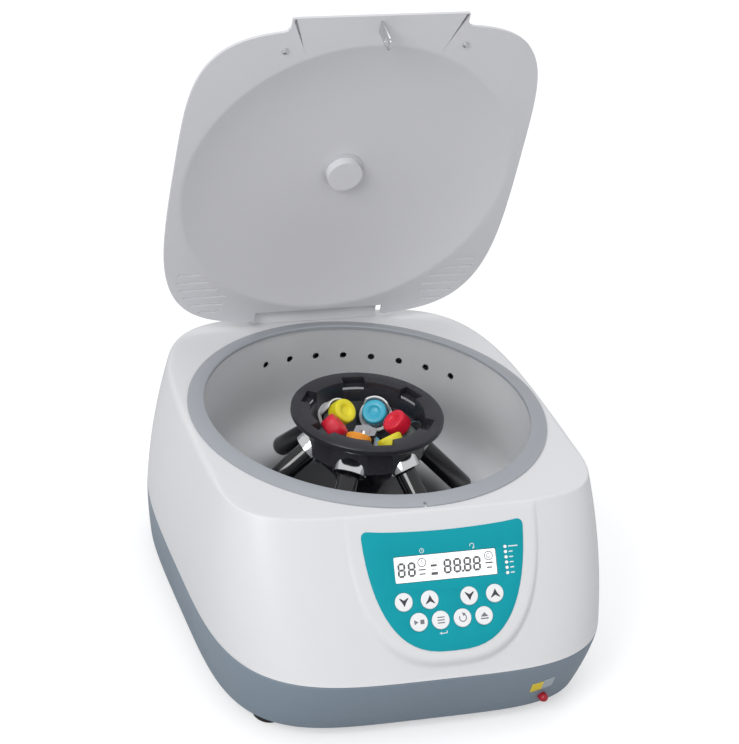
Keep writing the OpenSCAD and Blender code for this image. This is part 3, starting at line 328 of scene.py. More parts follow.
# White cover: one skin from the seam over the rounded edge to the chamber opening
def make_cover():
    deg = np.concatenate([np.arange(0, 232, 1.25), np.arange(232, 308, 0.25), np.arange(308, 360, 1.25)])
    th = np.radians(deg)
    n = len(th)
    front = np.clip((-np.sin(th) - 0.2) / 0.35, 0, 1)
    reach = 4.4 - 3.0 * front
    grid = []
    for inset, z in ((3.0, SEAM + 0.3), (0.7, SEAM + 0.02), (0.2, SEAM + 0.1), (0.05, SEAM + 0.35)):
        x, y = oval(cover_oval(SEAM), th, inset)
        grid.append(np.stack([x, y, np.full(n, z)], -1))
    xs, ys = oval(cover_oval(DECK - 8), th, 0)
    xe, ye = oval(cover_oval(DECK), th, 0)
    slope = np.stack([xs - xe, ys - ye, np.full(n, -8.0)], -1)
    slope /= np.linalg.norm(slope, axis=1)[:, None]
    edge = np.stack([xe, ye, np.full(n, DECK)], -1)
    low = edge + slope * reach[:, None]
    xi, yi = oval(cover_oval(DECK), th, 2.0)
    inward = np.stack([xi - xe, yi - ye, np.zeros(n)], -1)
    inward /= np.linalg.norm(inward, axis=1)[:, None]
    high = edge + inward * reach[:, None]
    steps = 96
    for t in np.linspace(0, 1, steps)[1:]:
        z = SEAM + 0.9 + (low[:, 2] - SEAM - 0.9) * t if t > 0 else None
        pts = np.zeros((n, 3))
        for i in range(n):
            pts[i, 2] = z[i]
        o_half = [cover_oval(v) for v in (z.min(), z.max())]
        if abs(z.max() - z.min()) < 1e-6:
            x, y = oval(o_half[0], th, 0)
        else:
            xa, ya = oval(o_half[0], th, 0)
            xb, yb = oval(o_half[1], th, 0)
            f = (z - z.min()) / (z.max() - z.min())
            x, y = xa + (xb - xa) * f, ya + (yb - ya) * f
        pts[:, 0], pts[:, 1] = x, y
        grid.append(pts)
    for t in np.linspace(0, 1, 8)[1:]:
        grid.append(low * (1 - t) ** 2 + edge * 2 * t * (1 - t) + high * t * t)
    polar = np.arctan2(high[:, 1], high[:, 0])
    rim = np.stack([121.6 * np.cos(polar), 121.6 * np.sin(polar), np.full(n, DECK)], -1)
    for t in (0.2, 0.5, 0.8, 1.0):
        grid.append(high + (rim - high) * t)
    grid.append(rim + np.array([0, 0, -3.2]))
    rows = len(grid)
    p = np.concatenate(grid)
    # The boss rises out of the skin, with soft sides
    d0 = p - PANEL_O
    near = (d0 @ PY < 12) & (d0 @ PY > -125) & (np.abs(d0[:, 0]) < 90)
    near &= (p[:, 1] < -120) & (p[:, 2] <= DECK - 0.001)
    q = d0[near]
    px, ps, ph = q @ PX, -(q @ PY), q @ PZ
    d = distance(px, ps, shield(70, 104, -8, 0, 2))
    target = -1.25 * 0.9 * np.log1p(np.exp(np.clip((d + 0.6) / 0.9, -30, 30)))
    rise = smooth_max(ph, target, 0.7) - ph
    fade = np.clip((ps + 0.5) / 5.0, 0, 1)
    p[near] += (rise * fade)[:, None] * PZ
    faces = grid_faces(rows, n)
    # The label covers an opening for the display and the keys
    q = p - PANEL_O
    inside = np.full(len(p), False)
    inside[near] = distance(px, ps, shield(59, 96.5, 11, 3, 4)) < -1.6
    faces = [f for f in faces if not all(inside[list(f)])]
    return piece("cover_skin", p, faces, WHITE, "housing", 40, ["top_cover"])


make_cover()


# Grey base: one skin from the seam round the lower edge to the middle of the floor
def make_base():
    deg = np.concatenate([np.arange(0, 60, 1.25), np.arange(60, 150, 0.4), np.arange(150, 360, 1.25)])
    th = np.radians(deg)
    n = len(th)
    grid = []

    def ring(z, inset, scale=1.0):
        x, y = oval(base_oval(z), th, inset)
        grid.append(np.stack([x * scale, y * scale, np.full(n, z)], -1))
    for scale in (0.02, 0.3, 0.6, 0.85):
        ring(BASE, 2.5, scale)
    for a in np.radians(np.arange(0, 91, 15)):
        ring(BASE + 1.6 * (1 - math.cos(a)), 1.6 * (1 - math.sin(a)))
    for z in np.linspace(BASE + 2.4, SEAM - 1.2, 60):
        ring(z, 0)
    for z, inset in ((SEAM - 0.75, 0.08), (SEAM - 0.42, 0.35), (SEAM - 0.3, 0.8), (SEAM - 0.32, 3.2)):
        ring(z, inset)
    p = np.concatenate(grid)
    # A flat pad for the inlet and the switch
    back = (p[:, 1] > 120) & (p[:, 2] > BASE + 0.5)
    u, w = np.abs(p[back, 0] + 31) - 53, np.abs(p[back, 2] - 31) - 17
    out = np.maximum(u, w)
    target = 150.0 - 0.8 * np.maximum(out, 0) * 2.2
    p[back, 1] = np.where(out < 3, np.maximum(p[back, 1], target), p[back, 1])
    faces = grid_faces(len(grid), n)
    hole = np.zeros(len(p), bool)
    hole[back] = (p[back, 2] > 20) & (p[back, 2] < 42) & (
        ((p[back, 0] > -66) & (p[back, 0] < -38)) | ((p[back, 0] > 2.4) & (p[back, 0] < 17.6)))
    faces = [f for f in faces if not all(hole[list(f)])]
    return piece("base_skin", p, faces, GREY, "housing", 40, ["base_shell"])


make_base()


# Lid, drawn closed: y as on the closed machine, w above the liner plane
def lid_row(p):
    p = np.asarray(p, float)
    y, z = p[..., 1] - HINGE_Y, p[..., 2] + LID_UP
    c, s = math.cos(math.radians(-OPEN)), math.sin(math.radians(-OPEN))
    return np.stack([p[..., 0], y * c - z * s + HINGE_Y, y * s + z * c + DECK + HINGE_UP], -1)


TAB_W, TAB_OUT = 67.7, 10.1


def lid_outline():
    """Outline of the lid with its finger tab, and the same points without the tab."""
    th = np.radians(np.arange(0, 360, 1.0))
    x, y = oval(LID_OVAL, th, 0)
    front = y < 0
    keep = ~(front & (np.abs(x) < TAB_W + 3.2))
    first = int(np.where(front & (x < 0) & (np.abs(x) >= TAB_W + 3.2))[0][-1])
    f = -(134.8 + TAB_OUT)
    near = front & (x > 0) & (y < -20)
    base = float(np.interp(TAB_W, x[near], y[near]))
    tab = [(-TAB_W - 2.2, base + 0.35), (-TAB_W - 0.8, base - 0.1), (-TAB_W, base - 1.2)]
    for a in np.radians(np.arange(0, 91, 15)):
        tab.append((-TAB_W + 4 - 4 * math.cos(a), f + 4 - 4 * math.sin(a)))
    tab += [(v, f) for v in np.linspace(-TAB_W + 8, TAB_W - 8, 60)]
    tab += [(-a, b) for a, b in tab[9::-1]]
    full, plain = [], []
    for i in range(len(x)):
        if keep[i]:
            full.append((x[i], y[i]))
            plain.append((x[i], y[i]))
        if i == first:
            for a, b in tab:
                full.append((a, b))
                c = min(abs(a), TAB_W + 3)
                yy = float(np.interp(c, x[near], y[near]))
                plain.append((math.copysign(c, a), yy))
    return np.array(full), np.array(plain)


def moved_in(line, d):
    t = np.roll(line, -1, 0) - np.roll(line, 1, 0)
    t /= np.maximum(np.linalg.norm(t, axis=1), 1e-6)[:, None]
    return line + np.stack([-t[:, 1], t[:, 0]], -1) * d


FULL, PLAIN = lid_outline()


def lid_ring(inset, w, tab=1.0):
    line = moved_in(FULL, inset) * tab + moved_in(PLAIN, inset) * (1 - tab)
    return np.column_stack([line, np.full(len(line), w)])


def cut(o, *boxes):
    """Takes simple closed shapes out of a piece, then applies it."""
    for k, (pts, faces) in enumerate(boxes):
        mesh = bpy.data.meshes.new("cutter")
        mesh.from_pydata(row(pts).tolist(), [], [list(map(int, f)) for f in faces])
        c = bpy.data.objects.new("cutter", mesh)
        bpy.context.scene.collection.objects.link(c)
        bm = bmesh.new()
        bm.from_mesh(mesh)
        bmesh.ops.recalc_face_normals(bm, faces=bm.faces)
        bm.to_mesh(mesh)
        bm.free()
        m = o.modifiers.new("cut", "BOOLEAN")
        m.operation, m.solver, m.object = "DIFFERENCE", "EXACT", c
        bpy.context.view_layer.objects.active = o
        with bpy.context.temp_override(object=o, active_object=o, selected_objects=[o]):
            bpy.ops.object.modifier_apply(modifier=m.name)
        bpy.data.objects.remove(c)
        bpy.data.meshes.remove(mesh)


def prism(outline, low, high, place):
    """A closed prism: outline in two coordinates, between two values of the third."""
    n = len(outline)
    pts = np.array([place(a, b, low) for a, b in outline] + [place(a, b, high) for a, b in outline])
    faces = [list(range(n - 1, -1, -1)), list(range(n, 2 * n))]
    faces += [[i, (i + 1) % n, n + (i + 1) % n, n + i] for i in range(n)]
    return pts, faces


def swing_cutters():
    """What the hinge needs free in the lid: the notch, the barrel and the swing of the back."""
    def lid_x(y, w, x):
        return lid_row(np.array([x, y + HINGE_Y, w - LID_UP]))
    arc = [(HINGE_UP - 1.1) * np.array([math.cos(a), math.sin(a)]) for a in np.radians(np.arange(-90, 1, 5))]
    back = [(tuple(p)) for p in arc] + [(60, 0), (60, -60), (0, -60)]
    barrel = [(6.1 * math.cos(a), 6.1 * math.sin(a)) for a in np.radians(np.arange(0, 360, 7.5))]
    return [prism([(2, -50), (60, -50), (60, 50), (2, 50)], -50.2, 50.2, lid_x),
            prism(barrel, -50.21, 50.21, lid_x), prism(back, -200, 200, lid_x)]


def make_lid():
    rings = [lid_ring(3.0, -3.0), lid_ring(3.0, -9.2)]
    for a in np.radians((20, 45, 70, 90, 110, 135, 160)):
        rings.append(lid_ring(1.5 + 1.5 * math.cos(a), -8.9 - 1.5 * math.sin(a)))
    rings += [lid_ring(0, w) for w in (-8.6, -6, -3, 0, 3, 5.6)]
    rings += [lid_ring(0.25, 6.5), lid_ring(1.0, 7.0), lid_ring(1.6, 7.05, 0.5), lid_ring(0.15, 7.1, 0.0)]
    rings += [lid_ring(12 * (1 - math.cos(a)), 6 + 12 * math.sin(a), 0.0)
              for a in np.radians(np.arange(12, 84, 6))]
    mid = np.array([0.0, 4.0])
    flat = lid_ring(12, 18, 0.0)
    for t in (0.94, 0.85, 0.72, 0.58, 0.44, 0.3, 0.16, 0.02):
        r = flat.copy()
        r[:, :2] = mid + (flat[:, :2] - mid) * t
        r[:, 2] = 18 + 6.0 * (1 - t ** 2.2)
        rings.append(r)
    n = len(FULL)
    # The inside of the skin, behind the liner
    inner = [lid_ring(3.0, w) for w in (2.9, 6)]
    inner += [lid_ring(3.0 + 9.4 * (1 - math.cos(a)), 6 + 9.4 * math.sin(a), 0.0)
              for a in np.radians((30, 60, 85))]
    for t in (0.85, 0.58, 0.3, 0.02):
        r = lid_ring(12, 15.4, 0.0)
        r[:, :2] = mid + (r[:, :2] - mid) * t
        r[:, 2] = 15.4 + 6.0 * (1 - t ** 2.2)
        inner.append(r)
    order = inner[::-1] + rings
    p = lid_row(np.concatenate(order))
    faces = grid_faces(len(order), n)
    faces.append(list(range(n - 1, -1, -1)))
    faces.append([(len(order) - 1) * n + i for i in range(n)])
    o = piece("lid_skin", p, faces, LID_WHITE, "lid", 40, ["lid_shell"])
    port = [(12.9 * math.cos(a), 8 + 12.9 * math.sin(a)) for a in np.radians(np.arange(0, 360, 5))]
    # Known fault: after these cuts only a rim round the port is left of the skin
    cut(o, *swing_cutters(), prism(port, 5, 60, lambda a, b, c: lid_row(np.array([a, b, c]))))
    o.data.set_sharp_from_angle(angle=math.radians(40))
    return o


make_lid()


# Liner: the flat frame and the round dish are one surface
def make_liner():
    n = len(FULL)
    outer = moved_in(FULL, 3.25)
    polar = np.arctan2(outer[:, 1] - 8.0, outer[:, 0])
    rings = []

    def dish(r):
        return 12.4 * (1 - (r / 123.5) ** 3.5) if r < 123.5 else 0.0
    for inset in (3.25, 4.2, 6.0):
        rings.append(lid_ring(inset, 0.0))
    # Soft edge between the flat frame and the dish
    radii = [126.5, 125.4, 124.6, 124.0, 123.4, 122.8, 122.0, 121.0, 119.5, 117, 113, 108, 102, 95, 87, 78,
             68, 57, 46,
             35, 25, 18, 15.6, 13.2]
    for r in radii:
        k = sum(dish(r + e) for e in (-1.6, -0.8, 0.0, 0.8, 1.6)) / 5
        c = np.stack([r * np.cos(polar), 8.0 + r * np.sin(polar), np.full(n, k)], -1)
        rings.append(c)
    flat = rings[2]
    for i in range(3, 6):
        for j in range(n):
            if np.hypot(flat[j, 0], flat[j, 1] - 8.0) < radii[i - 3] + 0.4:
                rr = np.hypot(flat[j, 0], flat[j, 1] - 8.0) - 0.35 * (i - 2)
                rings[i][j, :2] = (rr * math.cos(polar[j]), 8.0 + rr * math.sin(polar[j]))
    p = np.concatenate(rings)
    back = p.copy()
    back[:, 2] += 2.2
    count = len(rings)
    faces = grid_faces(count, n, flip=False)
    total = len(p)
    faces += [[v + total for v in f[::-1]] for f in grid_faces(count, n)]
    for k in (0, count - 1):
        for i in range(n):
            j = (i + 1) % n
            q = [k * n + i, k * n + j, total + k * n + j, total + k * n + i]
            faces.append(q[::-1] if k == 0 else q)
    o = piece("liner_skin", lid_row(np.concatenate([p, back])), faces, LINER, "lid", 30, ["lid_liner"])
    low = [79.3, 77.1, 75.7, 82.7, 91.1, 98.4]
    high = [95.2, 103.6, 109, 112.7, 115.6, 116.5]
    cutters = swing_cutters()
    for side in (-1, 1):
        for k in range(6):
            y = 130 - 7.7 * k
            arc = [(high[k] - 1 + math.cos(a), y + math.sin(a)) for a in np.radians(np.arange(-90, 91, 30))]
            arc += [(low[k] + 1 - math.cos(a), y - math.sin(a)) for a in np.radians(np.arange(-90, 91, 30))]
            cutters.append(prism([(side * a, b) for a, b in arc], -4, 8, lambda a, b,
                                 c: lid_row(np.array([a, b, c]))))
    cut(o, *cutters)
    o.data.set_sharp_from_angle(angle=math.radians(30))
    return o


make_liner()


# Turned pieces
def revolve(profile, segments, place, ribs=None):
    """Points and faces of a closed profile turned about the place's own z axis."""
    a = np.linspace(0, 2 * math.pi, segments, endpoint=False)
    pts = []
    for r, z in profile:
        k = np.full(segments, max(r, 0.01))
        if ribs and r > ribs[0]:
            k = k - ribs[1] * (0.5 + 0.5 * np.cos(ribs[2] * a)) ** 2
        pts.append(np.stack([k * np.cos(a), k * np.sin(a), np.full(segments, z)], -1))
    pts = place(np.concatenate(pts))
    return pts, grid_faces(len(profile) + 1, segments), len(profile) * segments


def turned(name, parts, mat, body, angle=32.0, replaces=(), bevel=0.0):
    """One piece of several turned or swept parts."""
    pts, faces = [], []
    for p, f, n in parts:
        b = sum(len(q) for q in pts)
        faces += [[b + v % n for v in q] for q in f]
        pts.append(p)
    o = piece(name, np.concatenate(pts), faces, mat, body, angle, replaces, bevel=bevel)
    bm = bmesh.new()
    bm.from_mesh(o.data)
    bmesh.ops.recalc_face_normals(bm, faces=bm.faces)
    bm.to_mesh(o.data)
    bm.free()
    o.data.set_sharp_from_angle(angle=math.radians(angle))
    return o


def at_place(i, lift=0.0):
    a, b = math.radians(-2 + 60 * i), math.radians(135)

    def place(p):
        x = p[:, 0] * math.cos(b) + (p[:, 2] - lift) * math.sin(b) + 33.7
        z = -p[:, 0] * math.sin(b) + (p[:, 2] - lift) * math.cos(b) + DECK - 22.9
        return np.stack([x * math.cos(a) - p[:, 1] * math.sin(a), x * math.sin(a) + p[:, 1] * math.cos(a),
                         z], -1)
    return place


def arc(cx, cz, r, a0, a1, step=6):
    n = max(2, int(abs(a1 - a0) / step) + 1)
    return [(cx + r * math.cos(a), cz + r * math.sin(a)) for a in np.radians(np.linspace(a0, a1, n))]


def make_bowl():
    wall_r, t = 119.5, 1.2
    floor_r = wall_r - 3 - 36
    skin = [(126, 0), (126, t), (wall_r, t), (wall_r, 0)]
    skin += [(wall_r - 3 * k, -48 * k) for k in (0.25, 0.5, 0.75)]
    skin += arc(floor_r, -84 + 36, 36, 0, -90)
    skin += [(floor_r - 15, -84), (24, -84), (22, -83.2), (19, -79.6), (17.5, -79), (15, -79), (15, -80.2),
             (17.4, -80.2),
             (23.4, -85.2)]
    skin += arc(floor_r, -84 + 36, 37.2, -90, 0)
    skin += [(wall_r + t, 0)]
    o = turned("bowl_skin", [revolve(skin, 240, lambda p: p + np.array([0, 0, DECK]))], SATIN, "housing", 30,
               ["chamber_bowl"])
    holes = []
    for i in range(8):
        a = math.radians(75 + 10.35 * (i - 3.5))
        d, s = np.array([math.cos(a), math.sin(a), 0]), np.array([-math.sin(a), math.cos(a), 0])
        circle = [(2.6 * math.cos(v), 2.6 * math.sin(v))
                  for v in np.linspace(0, 2 * math.pi, 32, endpoint=False)]
        holes.append(prism(circle, 110, 126, lambda u, v, r, d=d,
                           s=s: d * r + s * u + np.array([0, 0, DECK - 21.7 + v])))
    cut(o, *holes)
    o.data.set_sharp_from_angle(angle=math.radians(30))


make_bowl()

# How far each stopper stands out of its socket, in millimetres
CAP_FACE = (20, 12, 19, 20, 19, 16.5)
collar = [(11.5, 11), (11.5, 0.35), (11.62, 0.1), (11.85, 0), (12.05, 0.02), (12.22, 0.12), (12.3, 0.35),
          (12.3, 11)]
turned("bright_sockets", [revolve(collar, 96, at_place(i)) for i in range(6)], CHROME, "rotor", 40,
       ["shield_collars"])
for i in range(6):
    sleeve = [(6.8, 0.9), (6.95, 0.55), (7.25, 0.45), (7.55, 0.55), (7.7, 0.9)] + arc(0, 72 - 7.7, 7.7, 0, 90)
    end = 78 - CAP_FACE[i]
    sleeve += arc(0, end - 6.78, 6.8, 90, 0)
    turned("shield_%d" % (i + 1), [revolve(sleeve, 72, at_place(i))], SHIELD, "rotor", 40,
           ["tube_shield_%d" % (i + 1)])
    cap = [(0.01, 1.6), (2.4, 1.55), (3.4, 1.35), (3.9, 0.8), (4.5, 0.35), (5.4, 0.08), (7.2, 0.0),
           (8.1, 0.16), (8.7, 0.55),
           (9.05, 1.1), (9.2, 1.8), (9.2, 5.5), (9.1, 9.6), (8.95, 10.6), (8.5, 11), (6.34, 11),
           (6.34, 3.0), (0.01, 3.0)]
    turned("stopper_%d" % (i + 1), [revolve(cap, 216, at_place(i, CAP_FACE[i]), (8.9, 0.28, 36))],
           (RED, CYAN, YELLOW, RED, ORANGE, YELLOW)[i], "rotor", 50, ["tube_cap_%d" % (i + 1)])
parts = []
for i in (1, 2):
    rim = [(9.9, -1.1), (10.05, -1.45), (10.4, -1.6), (11.8, -1.6), (12.15, -1.45), (12.3, -1.1),
           (12.3, -0.02),
           (11.48, -0.02), (11.48, 10.6), (7.72, 10.6), (7.72, 4), (9.9, 4)]
    parts.append(revolve(rim, 96, at_place(i)))
    n = 40
    a = np.radians(np.linspace(118, 242, n))
    top = -1.2 - 10.8 * np.clip(np.sin(np.linspace(0, math.pi, n)) * 2.4, 0, 1) ** 0.6
    wall = []
    for r, level in ((10.5, 0.0), (10.5, 1.0), (11.7, 1.0), (11.7, 0.0)):
        wall.append(np.stack([r * np.cos(a), r * np.sin(a), -1.2 + (top + 1.2) * level], -1))
    f = [[k * n + j, k * n + j + 1, (k + 1) % 4 * n + j + 1, (k + 1) % 4 * n + j] for k in range(4)
         for j in range(n - 1)]
    f += [[0, n, 2 * n, 3 * n], [n - 1, 4 * n - 1, 3 * n - 1, 2 * n - 1]]
    parts.append((at_place(i)(np.concatenate(wall)), f, 4 * n))
turned("white_inserts", parts, SLEEVE, "rotor", 40, ["rack_sleeves"], bevel=0.25)
lip = [(44.1, -5.02), (50.5, -5.02), (51, -5.5), (50.5, -6.1), (44.1, -6.3)]
turned("flange_underside", [revolve(lip, 144, lambda p: p + np.array([0, 0, DECK]))], ROTOR, "rotor", 40)


# Materials of the CAD parts that keep their shape
FINISH = {
    "chamber_gasket": RING, "hinge_housing": WHITE, "hinge_pin": STEEL, "panel_label": TEAL,
    "display_pane": PANE, "display_module": LCD, "status_lamps": LAMP, "control_board": BOARD,
    "motor_plate": STEEL,
    "drive_motor": CAST, "motor_dampers": RUBBER, "power_board": BOARD, "latch_housing": BLACK,
    "latch_coil": COPPER,
    "latch_bolt": STEEL, "power_inlet": BLACK, "inlet_pins": STEEL, "switch_bezel": BLACK,
    "power_rocker": BLACK,
    "rubber_feet": RUBBER, "case_screws": STEEL, "release_pull": PULL, "motor_shaft": STEEL,
    "rotor_head": ROTOR,
    "rotor_nut": STEEL, "socket_inserts": BLACK, "sample_tubes": GLASS,
    "lid_port": PORT, "port_ring": PORT_RING, "latch_plate": STEEL,
    "lid_screws": STEEL, "hinge_knuckles": BLACK,
}
for k in ("time_down", "time_up", "speed_down", "speed_up", "start_stop", "program", "short_spin",
          "lid_open"):
    FINISH["key_" + k] = KEY


def smooth_nodes():
    """A modifier that shades smoothly except across sharp edges."""
    g = bpy.data.node_groups.new("smooth_by_angle", "GeometryNodeTree")
    g.interface.new_socket("Geometry", in_out="INPUT", socket_type="NodeSocketGeometry")
    g.interface.new_socket("Geometry", in_out="OUTPUT", socket_type="NodeSocketGeometry")
    a, z = g.nodes.new("NodeGroupInput"), g.nodes.new("NodeGroupOutput")
    all_smooth = g.nodes.new("GeometryNodeSetShadeSmooth")
    sharp = g.nodes.new("GeometryNodeSetShadeSmooth")
    sharp.domain = "EDGE"
    sharp.inputs["Shade Smooth"].default_value = False
    angle = g.nodes.new("GeometryNodeInputMeshEdgeAngle")
    more = g.nodes.new("FunctionNodeCompare")
    more.data_type, more.operation = "FLOAT", "GREATER_THAN"
    more.inputs[1].default_value = math.radians(28)
    g.links.new(a.outputs[0], all_smooth.inputs["Geometry"])
    g.links.new(all_smooth.outputs[0], sharp.inputs["Geometry"])
    g.links.new(angle.outputs["Unsigned Angle"], more.inputs[0])
    g.links.new(more.outputs[0], sharp.inputs["Selection"])
    g.links.new(sharp.outputs[0], z.inputs[0])
    return g


SMOOTH = smooth_nodes()
ROUND = {"rotor_head": 0.35, "hinge_housing": 0.6, "latch_plate": 0.12, "power_inlet": 0.3,
         "switch_bezel": 0.3, "power_rocker": 0.4, "panel_label": 0.12, "lid_screws": 0.1}
for name, mat in FINISH.items():
    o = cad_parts[name]
    if not o.material_slots:
        o.data.materials.append(mat)
    for s in o.material_slots:
        s.link = "OBJECT"
        s.material = mat
    weld = o.modifiers.new("weld", "WELD")
    weld.merge_threshold = 2e-6
    if name in ROUND:
        add_bevel(o, ROUND[name], 35)
    o.modifiers.new("smooth", "NODES").node_group = SMOOTH


# Printed marks: thin closed plates
def marks(name, polys, h, thick, mat, body, place=on_panel):
    pts, faces = [], []
    for poly in polys:
        poly = np.asarray(poly, float)
        area = np.sum(poly[:, 0] * np.roll(poly[:, 1], -1) - np.roll(poly[:, 0], -1) * poly[:, 1])
        if area > 0:
            poly = poly[::-1]
        n, b = len(poly), len(pts)
        for level in (h, h + thick):
            pts += [place(x, s, level) for x, s in poly]
        faces.append([b + i for i in range(n - 1, -1, -1)])
        faces.append([b + n + i for i in range(n)])
        faces += [[b + i, b + (i + 1) % n, b + n + (i + 1) % n, b + n + i] for i in range(n)]
    return piece(name, np.array(pts), faces, mat, body, 30)


def bar(x0, s0, x1, s1, t):
    a, b = np.array([x0, s0]), np.array([x1, s1])
    e = (b - a) / np.linalg.norm(b - a)
    n = np.array([-e[1], e[0]]) * t / 2
    return [a + n, b + n, b - n, a - n]


def arc_band(x, s, r, t, a0, a1, steps=20):
    out = [(x + (r + t / 2) * math.cos(a), s + (r + t / 2) * math.sin(a))
           for a in np.radians(np.linspace(a0, a1, steps))]
    return out + [(x + (r - t / 2) * math.cos(a), s + (r - t / 2) * math.sin(a))
                  for a in np.radians(np.linspace(a1, a0, steps))]


def ring_bands(x, s, r, t):
    return [arc_band(x, s, r, t, 0, 180), arc_band(x, s, r, t, 180, 360)]


def disc(x, s, r, steps=20):
    return [(x + r * math.cos(a), s + r * math.sin(a))
            for a in np.linspace(0, 2 * math.pi, steps, endpoint=False)]


def digit(x, s, w=4.2, h=8.5, t=1.55):
    """A seven segment figure with all its segments on, centred at x, s."""
    g, out = 0.1, []

    def seg(ax, ay, bx, by):
        a, b = np.array([ax, ay]), np.array([bx, by])
        e = (b - a) / np.linalg.norm(b - a)
        n = np.array([-e[1], e[0]]) * t / 2
        a, b = a + e * g, b - e * g
        q = [a, a + e * t / 2 + n, b - e * t / 2 + n, b, b - e * t / 2 - n, a + e * t / 2 - n]
        out.append([(x + v[0] - v[1] * 0.04, s + v[1]) for v in q])
    l, r, u, d = -w / 2, w / 2, -h / 2, h / 2
    for q in ((l, u, r, u), (l, 0, r, 0), (l, d, r, d), (l, u, l, 0), (l, 0, l, d), (r, u, r, 0),
              (r, 0, r, d)):
        seg(*q)
    return out


GLASS_H = -0.46
half_w, half_h = 36.8, 8.8
field = [(sx * (half_w - 0.8) + 0.8 * math.cos(a), 38.8 + sy * (half_h - 0.8) + 0.8 * math.sin(a))
         for sx, sy, a0 in ((1, 1, 0), (-1, 1, 90), (-1, -1, 180), (1, -1, 270))
         for a in np.radians([a0, a0 + 30, a0 + 60, a0 + 90])]
marks("lcd_field", [field], GLASS_H - 0.2, 0.2, LCD, "housing")
digits = []
for x in (-31.9, -24.6, 1.3, 8.4, 15.8, 22.7):
    digits += digit(x, 39.1)
digits.append(disc(12.1, 43.3, 0.85, 12))
clock = ring_bands(-16.9, 35.0, 2.8, 0.6) + [bar(-16.9, 35.0, -16.9, 33.2, 0.5),
                                             bar(-16.9, 35.0, -15.7, 35.9, 0.5)]
gauge = ring_bands(31.6, 34.6, 2.9, 0.55) + [arc_band(31.6, 34.6, 1.3, 0.5, 20, 300)]
small = [bar(-19.8, 39.9, -14.6, 39.9, 0.9), bar(-19.4, 42.8, -14.9, 42.8, 0.9),
         bar(-10.8, 37.7, -6.3, 37.7, 1.6),
         bar(-10.8, 43.2, -6.0, 43.2, 2.0), bar(28.9, 39.4, 34.3, 39.4, 1.0),
         bar(29.6, 42.6, 33.6, 42.6, 1.0)]
marks("lcd_figures", digits, GLASS_H + 0.005, 0.03, INK, "housing")
marks("lcd_symbols", clock + gauge + small, GLASS_H + 0.005, 0.03, INK, "housing")
marks("lcd_faint", ring_bands(-7.2, 34.6, 1.7, 0.35) + [bar(-10.2, 40.3, -7.0, 40.3, 0.5)], GLASS_H + 0.005,
      0.03,
      FAINT, "housing")

TOP = 0.4
print_marks = ring_bands(-16.5, 27.0, 1.5, 0.35) + [bar(-16.5, 27.0, -16.5, 26.0, 0.3),
                                                    bar(-16.5, 27.0, -15.8, 27.5, 0.3)]
print_marks += [arc_band(20.0, 26.6, 1.5, 0.4, -200, 60), [(20.9, 27.0), (21.9, 28.2), (20.2, 28.8)]]
for k in range(6):
    s = 29.5 + 3.6 * k
    print_marks.append(bar(46.4, s, 53.2 if k == 0 else 49.2, s, 0.75))
print_marks += [bar(-9.0, 84.0, -4.0, 84.0, 0.5), [(-9.6, 84.0), (-8.0, 83.0), (-8.0, 85.0)],
                bar(-4.1, 84.0, -4.1, 82.4, 0.5)]
marks("panel_marks", print_marks, TOP, 0.04, PRINT, "housing")

KEY_TOP = 1.4
ROW_1, ROW_2 = (-33, -14.3, 14.3, 33), (-23.6, -7.9, 7.9, 23.6)


def arrow(x, s, up):
    k = -1 if up else 1
    q = [(-3.5, -2.6), (-2.9, -2.75), (0, -1.1), (2.9, -2.75), (3.5, -2.6), (1.4, 0.4), (0, 3.3), (-1.4, 0.4)]
    return [(x + a, s + k * b) for a, b in q]


for i, name in enumerate(("time_down", "time_up", "speed_down", "speed_up")):
    marks("mark_" + name, [arrow(ROW_1[i], 60.6, i % 2 == 1)], KEY_TOP, 0.04, KEY_INK, "key_" + name)
s = 75.0
x = ROW_2[0]
marks("mark_start_stop", [[(x - 3.6, s - 1.7), (x - 0.6, s), (x - 3.6, s + 1.7)],
                          [(x + 0.7, s - 1.5), (x + 3.6, s - 1.5), (x + 3.6, s + 1.5), (x + 0.7, s + 1.5)]],
      KEY_TOP, 0.04, KEY_GREY, "key_start_stop")
x = ROW_2[1]
marks("mark_program", [bar(x - 2.6, s + v, x + 2.6, s + v, 0.75) for v in (-1.9, 0.0, 1.9)],
      KEY_TOP, 0.04, KEY_GREY, "key_program")
x = ROW_2[2]
marks("mark_short_spin", [arc_band(x, s, 2.5, 0.7, -60, 210),
                          [(x - 0.4, s - 3.6), (x + 2.2, s - 2.9), (x + 0.6, s - 0.9)]],
      KEY_TOP, 0.04, KEY_GREY, "key_short_spin")
x = ROW_2[3]
marks("mark_lid_open", [[(x - 2.8, s + 0.6), (x, s - 2.3), (x + 2.8, s + 0.6)],
                        bar(x - 2.8, s + 1.9, x + 2.8, s + 1.9, 0.85)],
      KEY_TOP, 0.04, KEY_GREY, "key_lid_open")


